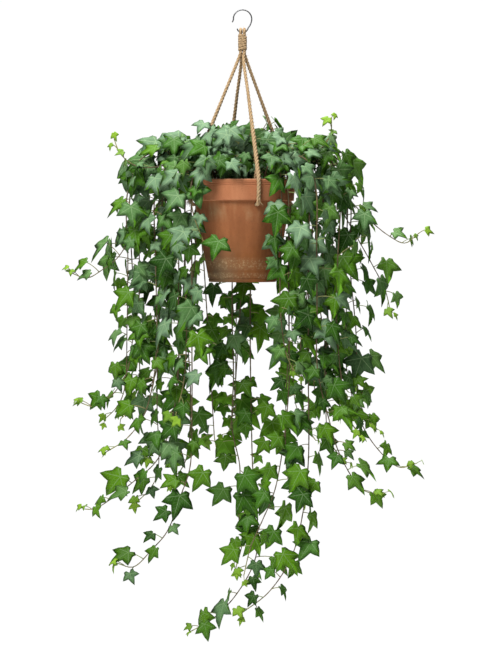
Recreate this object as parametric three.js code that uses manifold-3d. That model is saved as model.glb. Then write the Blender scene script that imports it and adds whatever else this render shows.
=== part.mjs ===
// Potted ivy in a terracotta pot, hung by two jute cords from an open steel hook.
// Millimetres, +Z up, -Y is the front. The origin is the top of the hook's bow, on its inner side.
import * as THREE from 'three';
import { mergeVertices } from 'three/addons/utils/BufferGeometryUtils.js';
import Module from 'manifold-3d';

const wasm = await Module();
wasm.setup();

// ---- driving dimensions ----
const HANG_DROP = 257; // from the hook's inner top down to the pot's rim
const POT_HEIGHT = 155;
const POT_SIDES = 28;
const RIM_RADIUS = 80; // a common 6 inch pot
const RIM_HEIGHT = 32;
const RIM_TAPER = 1.7;
const RIM_LIP = 8; // thickness at the top
const NECK_RADIUS = 73; // the wall just below the rim
const BASE_RADIUS = 51.4;
const WALL = 6;
const FLOOR = 9;
const DRAIN_RADIUS = 9;
const GROOVE_DEPTH = 0.7;
const SOIL_BELOW_RIM = 22;
const SOIL_FLAT_RADIUS = 58;
const FIT_GAP = 0.4; // between pieces that touch

const HOOK_WIRE = 1; // radius of the steel wire
const HOOK_BOW = 13; // inner radius of the upper bow

const CORD_RADIUS = 2.6;
const CORD_SIDES = 8;
const STRAND_OFFSET = 2.75; // of each of the four strands from the axis, inside the whipping
const BIGHT_Z = -28.3; // centre of the cord where it lies over the hook
const WHIP_TOP = -36;
const WHIP_BOTTOM = -60;
const WHIP_TURNS = 6;
const CORD_HOLE_RADIUS = 4.6;
const CORD_HOLE_BELOW_RIM = 38;
const CORD_CHANNEL_RADIUS = 5.2; // room for the inner strand in the soil

const STEM_RADIUS = 1.9; // corner radius of the three-sided stems
const STALK_RADIUS = 0.85; // the same of the leaf stalks
const BLADE = 0.9; // thickness of a leaf
const STEM_GAP = 5; // least distance between two stems' centre lines
const LEAF_GAP = 0.35; // least gap from a leaf to another piece
const LEAF_UNIT = 25; // from the stalk to the tip of a full-grown leaf

const RIM_Z = -HANG_DROP;
const BASE_Z = RIM_Z - POT_HEIGHT;
const SOIL_Z = RIM_Z - SOIL_BELOW_RIM;
const CORD_HOLE_Z = RIM_Z - CORD_HOLE_BELOW_RIM;
const CORD_AZIMUTHS = [17, 119, 197, 287]; // degrees from the front, tied by eye and so not even

const { sin, cos, PI, hypot, min, max } = Math;
const rad = (degrees) => (degrees * PI) / 180;
const lerp = (a, b, t) => a + (b - a) * t;
const ease = (t) => {
  const k = min(max(t, 0), 1);
  return k * k * (3 - 2 * k);
};

const UP = new THREE.Vector3(0, 0, 1);
const FRONT = new THREE.Vector3(0, -1, 0);

// A point given by its azimuth, from the front towards +X, its radius and its height.
const polar = (azimuth, radius, z) =>
  new THREE.Vector3(radius * sin(rad(azimuth)), -radius * cos(rad(azimuth)), z);

const MATERIALS = {
  terracotta: new THREE.MeshStandardMaterial({ color: 0xb06a42, roughness: 0.9, metalness: 0 }),
  soil: new THREE.MeshStandardMaterial({ color: 0x3a2a1e, roughness: 1, metalness: 0 }),
  jute: new THREE.MeshStandardMaterial({ color: 0xc6a57a, roughness: 0.95, metalness: 0 }),
  steel: new THREE.MeshStandardMaterial({ color: 0x4a4c50, roughness: 0.35, metalness: 1 }),
  leaf: new THREE.MeshStandardMaterial({ color: 0x3f7a3c, roughness: 0.55, metalness: 0 }),
};

// ---- solids ----

function toSolid(geometry) {
  const bare = new THREE.BufferGeometry().setAttribute('position', geometry.getAttribute('position'));
  if (geometry.index) bare.setIndex(geometry.index);
  const merged = mergeVertices(bare, 1e-3);
  const solid = new wasm.Manifold(new wasm.Mesh({
    numProp: 3,
    vertProperties: merged.attributes.position.array,
    triVerts: new Uint32Array(merged.index.array),
  }));
  if (solid.volume() > 0) return solid;
  const turned = new Uint32Array(merged.index.array).reverse();
  return new wasm.Manifold(new wasm.Mesh({
    numProp: 3, vertProperties: merged.attributes.position.array, triVerts: turned,
  }));
}

function toGeometry(solid) {
  const mesh = solid.getMesh();
  const points = new Float32Array(mesh.numVert * 3);
  for (let i = 0; i < mesh.numVert; i++) {
    points.set(mesh.vertProperties.subarray(i * mesh.numProp, i * mesh.numProp + 3), i * 3);
  }
  const geometry = new THREE.BufferGeometry();
  geometry.setAttribute('position', new THREE.BufferAttribute(points, 3));
  geometry.setIndex(new THREE.BufferAttribute(new Uint32Array(mesh.triVerts), 1));
  geometry.computeVertexNormals();
  return geometry;
}

// A profile of [radius, z] points turned round the Z axis.
function turned(profile, sides) {
  const points = profile.map(([radius, z]) => new THREE.Vector2(radius, z));
  return new THREE.LatheGeometry(points, sides).rotateX(PI / 2);
}

// A curve through hand-placed points that has one step between each two of them.
class Route extends THREE.CatmullRomCurve3 {
  getUtoTmapping(u) {
    return u;
  }
}

// A tube of a regular section along the points.
function tube(points, radius, sides) {
  const section = new THREE.Shape();
  for (let k = 0; k < sides; k++) {
    const angle = (2 * PI * k) / sides;
    section[k ? 'lineTo' : 'moveTo'](radius * cos(angle), radius * sin(angle));
  }
  section.closePath();
  const extrudePath = new Route(points, false, 'centripetal');
  return toSolid(new THREE.ExtrudeGeometry(section, { steps: points.length - 1, extrudePath }));
}

function named(name, solid, material) {
  const mesh = new THREE.Mesh(toGeometry(solid), material);
  mesh.name = name;
  return mesh;
}

// ---- pot and soil ----

// Inner radius of the pot at a height: the lip narrows into the wall, which narrows to the floor.
function innerRadius(z) {
  const neck = RIM_Z - RIM_HEIGHT - 2;
  const low = BASE_Z + FLOOR;
  if (z > neck) return lerp(RIM_RADIUS - RIM_LIP, NECK_RADIUS - WALL, (RIM_Z - z) / (RIM_Z - neck));
  return lerp(NECK_RADIUS - WALL, BASE_RADIUS - WALL, (neck - z) / (neck - low));
}

function makePot() {
  const rimFoot = RIM_Z - RIM_HEIGHT;
  const groove = (below) => {
    const radius = RIM_RADIUS - (RIM_TAPER * below) / RIM_HEIGHT;
    const z = RIM_Z - below;
    return [[radius, z - 0.8], [radius - GROOVE_DEPTH, z], [radius, z + 0.8]];
  };
  const inner = innerRadius(BASE_Z + FLOOR);
  const profile = [
    [DRAIN_RADIUS, BASE_Z],
    [BASE_RADIUS - 1, BASE_Z],
    [BASE_RADIUS, BASE_Z + 1],
    [BASE_RADIUS + 0.4, BASE_Z + 4],
    [BASE_RADIUS - 0.3, BASE_Z + 5],
    [BASE_RADIUS + 0.9, BASE_Z + 6.2],
    [NECK_RADIUS, rimFoot],
    [RIM_RADIUS - RIM_TAPER - 1, rimFoot],
    [RIM_RADIUS - RIM_TAPER, rimFoot + 1],
    ...groove(8.7),
    ...groove(6.1),
    [RIM_RADIUS, RIM_Z - 1.2],
    [RIM_RADIUS - 1.2, RIM_Z],
    [RIM_RADIUS - RIM_LIP + 1, RIM_Z],
    [RIM_RADIUS - RIM_LIP, RIM_Z - 1],
    [innerRadius(rimFoot - 2), rimFoot - 2],
    [inner, BASE_Z + FLOOR],
    [DRAIN_RADIUS, BASE_Z + FLOOR],
  ];
  let pot = toSolid(turned([...profile, profile[0]], POT_SIDES));
  for (const azimuth of CORD_AZIMUTHS) {
    const drill = new THREE.CylinderGeometry(CORD_HOLE_RADIUS, CORD_HOLE_RADIUS, 16, 8);
    drill.rotateZ(rad(azimuth));
    const centre = polar(azimuth, NECK_RADIUS - WALL / 2, CORD_HOLE_Z);
    drill.translate(centre.x, centre.y, centre.z);
    pot = pot.subtract(toSolid(drill));
  }
  return pot;
}

function makeSoil(roots) {
  const neck = RIM_Z - RIM_HEIGHT - 2;
  const low = BASE_Z + FLOOR + FIT_GAP;
  const profile = [
    [0, low],
    [innerRadius(low) - FIT_GAP, low],
    [innerRadius(neck) - FIT_GAP, neck],
    [innerRadius(SOIL_Z - 3) - FIT_GAP, SOIL_Z - 3],
    [SOIL_FLAT_RADIUS, SOIL_Z],
    [0, SOIL_Z],
  ];
  let soil = toSolid(turned(profile, POT_SIDES));
  for (const azimuth of CORD_AZIMUTHS) {
    const radius = CORD_CHANNEL_RADIUS;
    const channel = new THREE.CylinderGeometry(radius, radius, 40, 8).rotateX(PI / 2);
    const centre = polar(azimuth, CORD_LOOP_RADIUS + 0.6, CORD_HOLE_Z - 6 + 20);
    channel.translate(centre.x, centre.y, centre.z);
    soil = soil.subtract(toSolid(channel));
  }
  for (const root of roots) {
    const width = STEM_RADIUS + FIT_GAP;
    const hole = new THREE.BoxGeometry(2 * width, 2 * width, 40);
    hole.translate(root.x, root.y, root.z - FIT_GAP + 20);
    soil = soil.subtract(toSolid(hole));
  }
  return soil;
}

// ---- hook, cords and whipping ----

function makeHook() {
  const bow = HOOK_BOW + HOOK_WIRE;
  const points = [new THREE.Vector3(-bow - 1.8, 0, -HOOK_BOW - 5)];
  for (let angle = 185; angle >= -15; angle -= 20) {
    points.push(new THREE.Vector3(bow * cos(rad(angle)), 0, -HOOK_BOW + bow * sin(rad(angle))));
  }
  const lower = [[11.4, -22.3], [8.6, -26.6], [7.4, -29.2], [5.6, -31.5], [3, -32.3]];
  const end = [[-3, -32.3], [-5.6, -31.5], [-7.4, -29.4], [-7.9, -27]];
  for (const [x, z] of [...lower, ...end]) points.push(new THREE.Vector3(x, 0, z));
  return tube(points, HOOK_WIRE, 8);
}

const CORD_LOOP_RADIUS = 62.8; // of the strand that runs up inside the pot

// One leg of a cord in its own upright plane, as radius and height above the rim: from the
// splice down inside the pot, out through the hole and up over the outside of the rim.
const CORD_LEG = [
  [75, 19], [70.6, 11], [66.4, 2], [63.6, -8], [CORD_LOOP_RADIUS, -18], [62.2, -28],
  [63.6, -35.6], [67.6, -38], [73, -38], [77.2, -37.6], [80.2, -35.6], [81.8, -31],
  [82.8, -22], [83.3, -10], [83.4, -3], [82.4, 2.4], [78.6, 12],
];
const LEG_TOP = [5.4, -71]; // where a leg reaches the others, under the whipping
const LEG_STEPS = 3; // of the straight run from the rim to there
const QUARTER_TURN = 28; // degrees that bring each hole's direction well inside its quarter

// The strands stand at the corners of a square inside the whipping, one in each quarter.
function legPoints(azimuth) {
  const points = CORD_LEG.map(([radius, z]) => polar(azimuth, radius, RIM_Z + z));
  const low = points[points.length - 1];
  const high = polar(azimuth, ...LEG_TOP);
  for (let k = 1; k <= LEG_STEPS; k++) points.push(low.clone().lerp(high, k / LEG_STEPS));
  const corner = rad(azimuth + QUARTER_TURN);
  const x = Math.sign(sin(corner)) * STRAND_OFFSET;
  const y = -Math.sign(cos(corner)) * STRAND_OFFSET;
  for (const z of [WHIP_BOTTOM - 3.5, WHIP_BOTTOM + 3, WHIP_TOP]) points.push(new THREE.Vector3(x, y, z));
  return points;
}

// The line of a cord with a leg at each end and its middle laid over the lower bow of the hook.
function cordPoints(firstAzimuth, secondAzimuth) {
  const first = legPoints(firstAzimuth);
  const second = legPoints(secondAzimuth).reverse();
  const from = first[first.length - 1];
  const to = second[0];
  const side = Math.sign(to.y - from.y);
  const reach = HOOK_WIRE + CORD_RADIUS + FIT_GAP;
  const over = [];
  for (const angle of [5, 35, 65, 90, 115, 145, 175]) {
    const y = -side * reach * cos(rad(angle));
    over.push(new THREE.Vector3(from.x, y, BIGHT_Z - reach + reach * sin(rad(angle))));
  }
  return [...first, ...over, ...second];
}

// Turns of thin cord pulled tight round the four strands: ridges on a rounded square.
function makeWhipping() {
  const inner = 6;
  const pitch = (WHIP_TOP - WHIP_BOTTOM) / WHIP_TURNS;
  const profile = [[inner, WHIP_TOP], [inner, WHIP_BOTTOM]];
  for (let turn = 0; turn < WHIP_TURNS; turn++) {
    const z = WHIP_BOTTOM + pitch * turn;
    profile.push([inner + 0.6, z], [inner + 1.15, z + pitch / 2]);
  }
  profile.push([inner + 0.6, WHIP_TOP], [inner, WHIP_TOP]);
  const geometry = turned(profile, 16);
  const position = geometry.getAttribute('position');
  for (let i = 0; i < position.count; i++) {
    const x = position.getX(i);
    const y = position.getY(i);
    const round = hypot(x, y);
    const square = (Math.abs(x / round) ** 4 + Math.abs(y / round) ** 4) ** -0.25;
    position.setXY(i, x * square, y * square);
  }
  return toSolid(geometry);
}

// ---- how the ivy grows ----

// Numbers from 0 to 1, the same on each run for the same seed.
function draws(seed) {
  let state = seed;
  const next = () => {
    state = (1664525 * state + 1013904223) % 4294967296;
    return state / 4294967296;
  };
  for (let k = 0; k < 4; k++) next();
  return next;
}

// Stems set by hand, first the long trailing ones and last a few short ones over the front of
// the rim: root radius, rise above the rim, the places as x, y and height above the rim, and the
// length from the tip over which the leaves reach full size, which is 0 where all are full-grown.
const RUNNERS = [
  [38, 34, [[-118, -20, 22], [-150, -30, 18], [-171, -36, 26], [-186, -40, 42],
    [-193, -40, 60]], 150],
  [30, 30, [[85, -40, 29], [106, -42, 40], [124, -42, 52], [133, -42, 71], [134, -42, 93]], 130],
  [52, 26, [[-104, 0, -8], [-124, -6, -31], [-150, -12, -69], [-170, -16, -90],
    [-190, -20, -119], [-212, -21, -136], [-236, -21, -149], [-260, -20, -141]], 60],
  [50, 30, [[128, -6, 3], [164, -11, -32], [188, -15, -57], [222, -20, -85], [246, -20, -96],
    [266, -20, -82]], 60],
  [44, 42, [[-158, 4, -183], [-168, -5, -248], [-178, -12, -298], [-204, -18, -332],
    [-226, -20, -344], [-244, -20, -339]], 60],
  [40, 34, [[-98, -32, -303], [-110, -36, -377], [-130, -41, -425], [-166, -46, -457],
    [-200, -50, -483], [-224, -50, -497], [-239, -50, -497]], 60],
  [52, 28, [[-76, -62, -343], [-79, -66, -433], [-92, -71, -473], [-113, -77, -528],
    [-136, -80, -555], [-164, -80, -581], [-189, -80, -575]], 60],
  [46, 30, [[12, 84, -243], [14, 68, -383], [16, 50, -447], [23, 32, -521], [20, 18, -579],
    [-8, 0, -631], [-44, -10, -668], [-78, -10, -688]], 60],
  [48, 26, [[99, -60, -303], [99, -61, -423], [91, -60, -501], [74, -52, -569], [40, -46, -623],
    [-2, -45, -656]], 60],
  [45, 36, [[112, -82, -283], [128, -91, -355], [146, -94, -413], [180, -95, -464],
    [208, -95, -470]], 60],
  [42, 40, [[158, -8, -283], [178, -14, -363], [204, -20, -407], [238, -25, -436],
    [264, -25, -430]], 60],
  [36, 46, [[150, 26, -43], [178, 24, -92], [198, 20, -128], [218, 12, -168],
    [226, 10, -200]], 60],
  [52, 24, [[58, -76, -88], [56, -78, -153], [58, -80, -213], [66, -86, -263],
    [80, -92, -291]], 60],
  [50, 26, [[-86, -50, -88], [-86, -54, -153], [-84, -60, -223], [-88, -68, -303],
    [-100, -76, -353]], 60],
  [44, 30, [[70, -66, -303], [62, -60, -393], [48, -50, -471], [30, -44, -515], [12, -40, -557],
    [2, -38, -599]], 60],
  [46, 34, [[-16, 92, -223], [-14, 78, -303], [-16, 62, -383], [-4, 44, -443], [-8, 34, -499],
    [0, 26, -552], [-10, 20, -594]], 60],
  [50, 34, [[-76, -76, -5], [-74, -82, -49], [-57, -86, -97]], 0],
  [16, 46, [[-46, -74, 25]], 0],
  [12, 62, [[-6, -56, 53]], 0],
  [22, 42, [[50, -66, 29]], 0],
  [20, 38, [[-20, -66, 25]], 0],
  [26, 34, [[-4, -76, 17]], 0],
  [30, 54, [[82, -54, 43]], 0],
  [56, 40, [[-130, -30, -250], [-136, -34, -310], [-150, -40, -358], [-176, -44, -392],
    [-204, -48, -410]], 60],
  [8, 80, [[-36, -14, 78]], 0],
  [6, 76, [[30, 10, 74]], 0],
];

// The curtain: stems that fall all round the pot, except in front of it.
const CURTAIN = {
  count: 20,
  from: 50,
  to: 280,
  crowd: 0.45, // how much closer the stems stand at the front than at the back
  reach: [98, 128, 156, 114, 168],
  spread: 12, // how much further out a stem hangs at its lower end
  rise: [30, 46, 52, 38, 46],
  rootRadius: [54, 40, 28, 48, 34],
  drop: [330, 270, 320, 390, 290],
  dropBehind: 30, // the back hangs lower
  turn: 26, // range of a stem's drift round the pot, in degrees
  tip: [[12, 26], [30, 44]], // how far out and down the growing tip's two places lie
};
// The crown: short stems that arch out over the soil and the rim.
const CROWN = {
  count: 6,
  reach: [62, 88, 74],
  rise: [74, 58, 68],
  rootRadius: [12, 22, 17],
};
const TIP_TAPER = 60; // of the curtain's stems, as for the runners
const WANDER = 9; // how far a falling stem drifts from a straight line
const FALL_STEP = 105; // between the points of a falling stem
const NUDGE = 1.5; // degrees that a stem is turned by to find free room
const NUDGES = 24; // how often that is tried, to either side in turn

// Points of a stem from the soil over the rim and through its places.
function stemPoints(azimuth, rootRadius, rise, places) {
  const first = places[0];
  const clear = RIM_RADIUS + 13;
  const low = first.z < RIM_Z - 70;
  const shoulder = low ? max(hypot(first.x, first.y), clear) : hypot(first.x, first.y);
  const points = [
    polar(azimuth, rootRadius, SOIL_Z - 12),
    polar(azimuth, rootRadius, SOIL_Z + 8),
    polar(azimuth, lerp(rootRadius, shoulder, 0.2), RIM_Z + rise * 0.66),
    polar(azimuth, lerp(rootRadius, shoulder, 0.52), RIM_Z + rise),
  ];
  if (low) {
    points.push(polar(azimuth, lerp(rootRadius, shoulder, 0.85), RIM_Z + rise * 0.7));
    const last = polar(azimuth, shoulder, RIM_Z - 18);
    points.push(last);
    const steps = Math.round(last.distanceTo(first) / FALL_STEP);
    for (let k = 1; k < steps; k++) points.push(last.clone().lerp(first, k / steps));
  }
  return [...points, ...places];
}

function curtainPlaces(azimuth, reach, drop, draw) {
  const places = [];
  const steps = Math.round(drop / FALL_STEP);
  const turn = CURTAIN.turn * (draw() - 0.5);
  for (let k = 1; k <= steps; k++) {
    const along = k / steps;
    const radius = reach + WANDER * (2 * draw() - 1) + CURTAIN.spread * along;
    places.push(polar(azimuth + turn * along, radius, RIM_Z - 20 - drop * along));
  }
  const tip = places[steps - 1];
  const out = polar(azimuth + turn * 2.5 + 40 * (draw() - 0.5), 1, 0);
  for (const [aside, down] of CURTAIN.tip) {
    places.push(tip.clone().addScaledVector(out, aside).addScaledVector(UP, -down));
  }
  return places;
}

// Shortest distance between the segments a-b and c-d.
function segmentGap(a, b, c, d) {
  const u = b.clone().sub(a);
  const v = d.clone().sub(c);
  const w = a.clone().sub(c);
  const uu = u.dot(u);
  const uv = u.dot(v);
  const vv = v.dot(v);
  const uw = u.dot(w);
  const vw = v.dot(w);
  const span = uu * vv - uv * uv;
  let s = span < 1e-9 ? 0 : min(max((uv * vw - vv * uw) / span, 0), 1);
  const t = min(max((uv * s + vw) / vv, 0), 1);
  s = min(max((uv * t - uw) / uu, 0), 1);
  return w.addScaledVector(u, s).addScaledVector(v, -t).length();
}

function pathGap(one, other) {
  let gap = Infinity;
  for (let i = 1; i < one.length; i++) {
    for (let j = 1; j < other.length; j++) {
      gap = min(gap, segmentGap(one[i - 1], one[i], other[j - 1], other[j]));
    }
  }
  return gap;
}

// Whether a stem keeps off the pot, the cords and the stems before it.
function stemIsClear(points, stems, cords) {
  for (let i = 1; i < points.length; i++) {
    for (let k = 0; k <= 4; k++) {
      const p = points[i - 1].clone().lerp(points[i], k / 4);
      const radius = hypot(p.x, p.y);
      const beside = p.z < RIM_Z + 4 && p.z > BASE_Z - 4;
      if (beside && radius < RIM_RADIUS + 4 && radius > innerRadius(RIM_Z - RIM_HEIGHT) - 5) return false;
    }
  }
  const cordGap = STEM_RADIUS + CORD_RADIUS + 1;
  if (cords.some((cord) => pathGap(points, cord) < cordGap)) return false;
  return stems.every((stem) => pathGap(points, stem.points) > STEM_GAP);
}

// Every stem as {name, points, taper, seed}: the runners first, then the curtain and the crown, each
// turned a little further round the pot until it is clear.
function growStems(cords) {
  const stems = [];
  const add = (name, taper, build) => {
    for (let turn = 0; turn < NUDGES; turn++) {
      const points = build((turn % 2 ? 1 : -1) * Math.ceil(turn / 2) * NUDGE);
      if (stemIsClear(points, stems, cords)) {
        stems.push({ name, points, taper, seed: 1000 + 77 * stems.length });
        return;
      }
    }
    console.warn('no room for ' + name);
  };
  RUNNERS.forEach(([rootRadius, rise, list, taper], i) => {
    const places = list.map(([x, y, z]) => new THREE.Vector3(x, y, RIM_Z + z));
    const azimuth = (Math.atan2(places[0].x, -places[0].y) * 180) / PI;
    add('runner_' + (i + 1), taper, (nudge) => stemPoints(azimuth + nudge, rootRadius, rise, places));
  });
  for (let i = 0; i < CURTAIN.count; i++) {
    const pick = (list) => list[i % list.length];
    const even = (i + 0.5) / CURTAIN.count;
    const along = even - (CURTAIN.crowd * sin(2 * PI * even)) / (2 * PI);
    add('trail_' + (i + 1), TIP_TAPER, (nudge) => {
      const draw = draws(50 + 13 * i);
      const azimuth = lerp(CURTAIN.from, CURTAIN.to, along) + nudge;
      const reach = pick(CURTAIN.reach) + 10 * (draw() - 0.5);
      const behind = CURTAIN.dropBehind * ease(-1.25 * cos(rad(azimuth)) - 0.25);
      const drop = pick(CURTAIN.drop) * (0.9 + 0.2 * draw()) + behind;
      const places = curtainPlaces(azimuth, reach, drop, draw);
      return stemPoints(azimuth, pick(CURTAIN.rootRadius), pick(CURTAIN.rise), places);
    });
  }
  for (let i = 0; i < CROWN.count; i++) {
    const pick = (list) => list[i % list.length];
    add('crown_' + (i + 1), 0, (nudge) => {
      const azimuth = (360 * (i + 0.2)) / CROWN.count + nudge;
      const tip = polar(azimuth, pick(CROWN.reach), RIM_Z + 0.55 * pick(CROWN.rise));
      return stemPoints(azimuth, pick(CROWN.rootRadius), pick(CROWN.rise), [tip]);
    });
  }
  return stems;
}

// ---- leaves ----

// Half of the five-lobed outline: degrees from the middle lobe and distance from the stalk, in
// leaf units. A lobe's tip is sharp and a bay between two lobes keeps the blade's thickness.
const OUTLINE = [
  { angle: 0, reach: 1, sharp: true },
  { angle: 29, reach: 0.52 },
  { angle: 56, reach: 0.84, sharp: true },
  { angle: 90, reach: 0.45 },
  { angle: 121, reach: 0.57, sharp: true },
  { angle: 180, reach: 0.12 },
];
// The same for a young leaf near a stem's tip, which has three lobes.
const YOUNG_OUTLINE = [
  { angle: 0, reach: 1, sharp: true },
  { angle: 30, reach: 0.5 },
  { angle: 62, reach: 0.8, sharp: true },
  { angle: 180, reach: 0.2 },
];
const YOUNG_SIZE = 15; // below this many millimetres from stalk to tip
const FIRST_NODE = 14; // from a growing tip to the next leaf joint
const LONGEST_NODE = 22; // between leaf joints on the older wood
const SOIL_CLEAR = 26; // bare stem above the soil
const STALK_BEHIND = 0.35; // how far a stalk comes from behind its blade, as a cosine

// The leaf joints of a stem, from its tip back to the soil, each with its own leaf.
function leafSlots(stem) {
  const draw = draws(stem.seed);
  const slots = [];
  const points = [...stem.points].reverse();
  let walked = 0;
  let wanted = 0;
  for (let i = 1; i < points.length - 2; i++) {
    const step = points[i - 1].distanceTo(points[i]);
    while (wanted < walked + step) {
      const along = (wanted - walked) / step;
      const foot = points[i - 1].clone().lerp(points[i], along);
      const heading = points[i - 1].clone().sub(points[i]).normalize();
      const age = stem.taper > 0 ? ease(wanted / stem.taper) : 1;
      slots.push({ fromTip: wanted, ...leafAt(foot, heading, age, slots.length, draw) });
      wanted += lerp(FIRST_NODE, LONGEST_NODE, age) * (0.85 + 0.3 * draw());
    }
    walked += step;
  }
  return slots.filter(({ foot }) => hypot(foot.x, foot.y) > RIM_RADIUS + 5
    || foot.z > SOIL_Z + SOIL_CLEAR || foot.z < BASE_Z);
}

// A leaf's size, stalk and blade directions. Blades face the light: outwards, up and to the front.
function leafAt(foot, heading, age, number, draw) {
  const d = [];
  for (let k = 0; k < 9; k++) d.push(2 * draw() - 1);
  const radial = new THREE.Vector3(foot.x, foot.y, 0).normalize();
  const facing = -radial.y;
  const under = foot.z < BASE_Z && facing < 0 && d[8] > 0;
  const pull = under ? 3 : 1.4 * ease((facing + 0.75) / 0.6);
  const out = radial.clone().addScaledVector(FRONT, pull).normalize();
  const side = new THREE.Vector3().crossVectors(out, UP).multiplyScalar(number % 2 ? 1 : -1);
  const flat = 1 - Math.abs(heading.z);
  const low = ease((RIM_Z - 120 - foot.z) / 420);
  const size = LEAF_UNIT * lerp(0.48, lerp(1, 0.94, low), age) * (1 + 0.3 * d[0]);
  const stalk = new THREE.Vector3()
    .addScaledVector(out, 0.55 + 0.45 * d[1])
    .addScaledVector(side, 0.75 + 0.45 * d[2])
    .addScaledVector(UP, 0.15 + 0.75 * flat + 0.35 * d[3])
    .addScaledVector(heading, lerp(1.2, 0.1, age))
    .normalize();
  const joint = foot.clone().addScaledVector(stalk, size * (0.85 + 0.3 * d[4]));
  const normal = new THREE.Vector3()
    .addScaledVector(out, lerp(1, 0.7, flat))
    .addScaledVector(UP, lerp(0.35, 0.85, flat) + 0.5 * d[5])
    .addScaledVector(side, 0.2 + 0.8 * d[6])
    .normalize();
  normal.addScaledVector(stalk, max(0, STALK_BEHIND - normal.dot(stalk))).normalize();
  const down = new THREE.Vector3()
    .addScaledVector(UP, -lerp(1, 0.3, flat))
    .addScaledVector(out, lerp(0.1, 0.5, flat))
    .addScaledVector(side, 0.25 + 1.2 * d[7])
    .addScaledVector(heading, lerp(0.3, 0.6, flat));
  const midrib = down.addScaledVector(normal, -down.dot(normal)).normalize();
  return { foot, joint, normal, midrib, size };
}

// A blade folded up a little along its ribs, tips bent back, with its stalk grown from behind.
function leafSolid({ foot, joint, normal, midrib, size }) {
  const across = new THREE.Vector3().crossVectors(midrib, normal);
  const at = (x, y, z) => joint.clone()
    .addScaledVector(midrib, x).addScaledVector(across, y).addScaledVector(normal, z);
  const points = [at(0, 0, BLADE * 0.6)];
  const rim = [];
  const outline = size < YOUNG_SIZE ? YOUNG_OUTLINE : OUTLINE;
  const half = outline.slice(1, -1).reverse().map((o) => ({ ...o, angle: -o.angle }));
  for (const { angle, reach, sharp } of [...outline, ...half]) {
    const x = size * reach * cos(rad(angle));
    const y = size * reach * sin(rad(angle));
    const z = sharp ? -0.14 * size * reach * reach : 0.05 * size * reach;
    const corner = Math.round(((angle + 360) % 360) / 120) % 3;
    rim.push([points.length, sharp ? points.length : points.length + 1, corner]);
    if (sharp) {
      points.push(at(x, y, z));
    } else {
      points.push(at(x, y, z + BLADE / 2), at(x, y, z - BLADE / 2));
    }
  }
  const ring = points.length;
  for (const angle of [0, 120, 240]) {
    const r = STALK_RADIUS * 1.3;
    points.push(at(r * cos(rad(angle)), r * sin(rad(angle)), -BLADE * 0.4));
  }
  const stalk = joint.clone().sub(foot).normalize();
  const flank = new THREE.Vector3().crossVectors(midrib, stalk).normalize();
  const rear = new THREE.Vector3().crossVectors(stalk, flank);
  for (const angle of [0, 120, 240]) {
    points.push(foot.clone()
      .addScaledVector(rear, STALK_RADIUS * 0.7 * cos(rad(angle)))
      .addScaledVector(flank, STALK_RADIUS * 0.7 * sin(rad(angle))));
  }
  const faces = [];
  const count = rim.length;
  // The back of the blade is a band between its edge points and the three of the stalk.
  for (let k = 0; k < count; k++) {
    const [frontA, backA, cornerA] = rim[k];
    const [frontB, backB, cornerB] = rim[(k + 1) % count];
    faces.push([0, frontA, frontB]);
    if (frontA !== backA) faces.push([frontA, backA, frontB]);
    if (frontB !== backB) faces.push([frontA === backA ? frontA : backA, backB, frontB]);
    faces.push([backA, ring + cornerA, backB]);
    if (cornerA !== cornerB) faces.push([ring + cornerA, ring + cornerB, backB]);
  }
  for (let k = 0; k < 3; k++) {
    const a = ring + k;
    const b = ring + ((k + 1) % 3);
    faces.push([a, a + 3, b], [b, a + 3, b + 3]);
  }
  faces.push([ring + 3, ring + 5, ring + 4]);
  const geometry = new THREE.BufferGeometry().setFromPoints(points);
  geometry.setIndex(faces.flat());
  return toSolid(geometry);
}

// ---- the whole object ----

const cordPaths = [
  cordPoints(CORD_AZIMUTHS[0], CORD_AZIMUTHS[1]),
  cordPoints(CORD_AZIMUTHS[2], CORD_AZIMUTHS[3]),
];
const stems = growStems(cordPaths);
const fixed = {
  pot: makePot(),
  cord_front_right: tube(cordPaths[0], CORD_RADIUS, CORD_SIDES),
  cord_back_left: tube(cordPaths[1], CORD_RADIUS, CORD_SIDES),
};

const LEAF_SPREAD = 150; // length of stem for each solid leaf
const FEWEST_LEAVES = 3;
const MOST_LEAVES = 12;

const boxOf = (solid) => {
  const box = solid.boundingBox();
  return new THREE.Box3(new THREE.Vector3(...box.min), new THREE.Vector3(...box.max)).expandByScalar(0.5);
};

// Everything that a leaf has to keep off, with the number of the stem that it belongs to.
const taken = Object.values(fixed).map((solid) => ({ solid, box: boxOf(solid), owner: -1 }));
stems.forEach((stem, owner) => {
  stem.solid = tube(stem.points, STEM_RADIUS, 3);
  taken.push({ solid: stem.solid, box: boxOf(stem.solid), owner });
});

function leafFits(solid, box, owner, isStem) {
  return taken.every((other, k) => {
    if (isStem(k) && other.owner === owner) return true;
    if (!other.box.intersectsBox(box)) return true;
    return solid.minGap(other.solid, LEAF_GAP * 2) >= LEAF_GAP;
  });
}

// The tip's leaf and then evenly spaced ones, each at the nearest joint where it is clear.
const firstStem = Object.keys(fixed).length;
const isStem = (k) => k >= firstStem && k < firstStem + stems.length;
for (let round = 0; round < MOST_LEAVES; round++) {
  stems.forEach((stem, owner) => {
    stem.slots = stem.slots ?? leafSlots(stem);
    stem.used = stem.used ?? new Set();
    const length = stem.slots[stem.slots.length - 1].fromTip;
    const leaves = max(FEWEST_LEAVES, Math.round(length / LEAF_SPREAD) + 1);
    if (round >= leaves) return;
    const wanted = Math.round((round * (stem.slots.length - 1)) / (leaves - 0.6));
    for (const shift of [0, 1, -1, 2, -2]) {
      const slot = stem.slots[wanted + shift];
      if (!slot || stem.used.has(slot)) continue;
      const solid = leafSolid(slot);
      const box = boxOf(solid);
      if (!leafFits(solid, box, owner, isStem)) continue;
      taken.push({ solid, box, owner });
      stem.used.add(slot);
      return;
    }
  });
}

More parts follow.
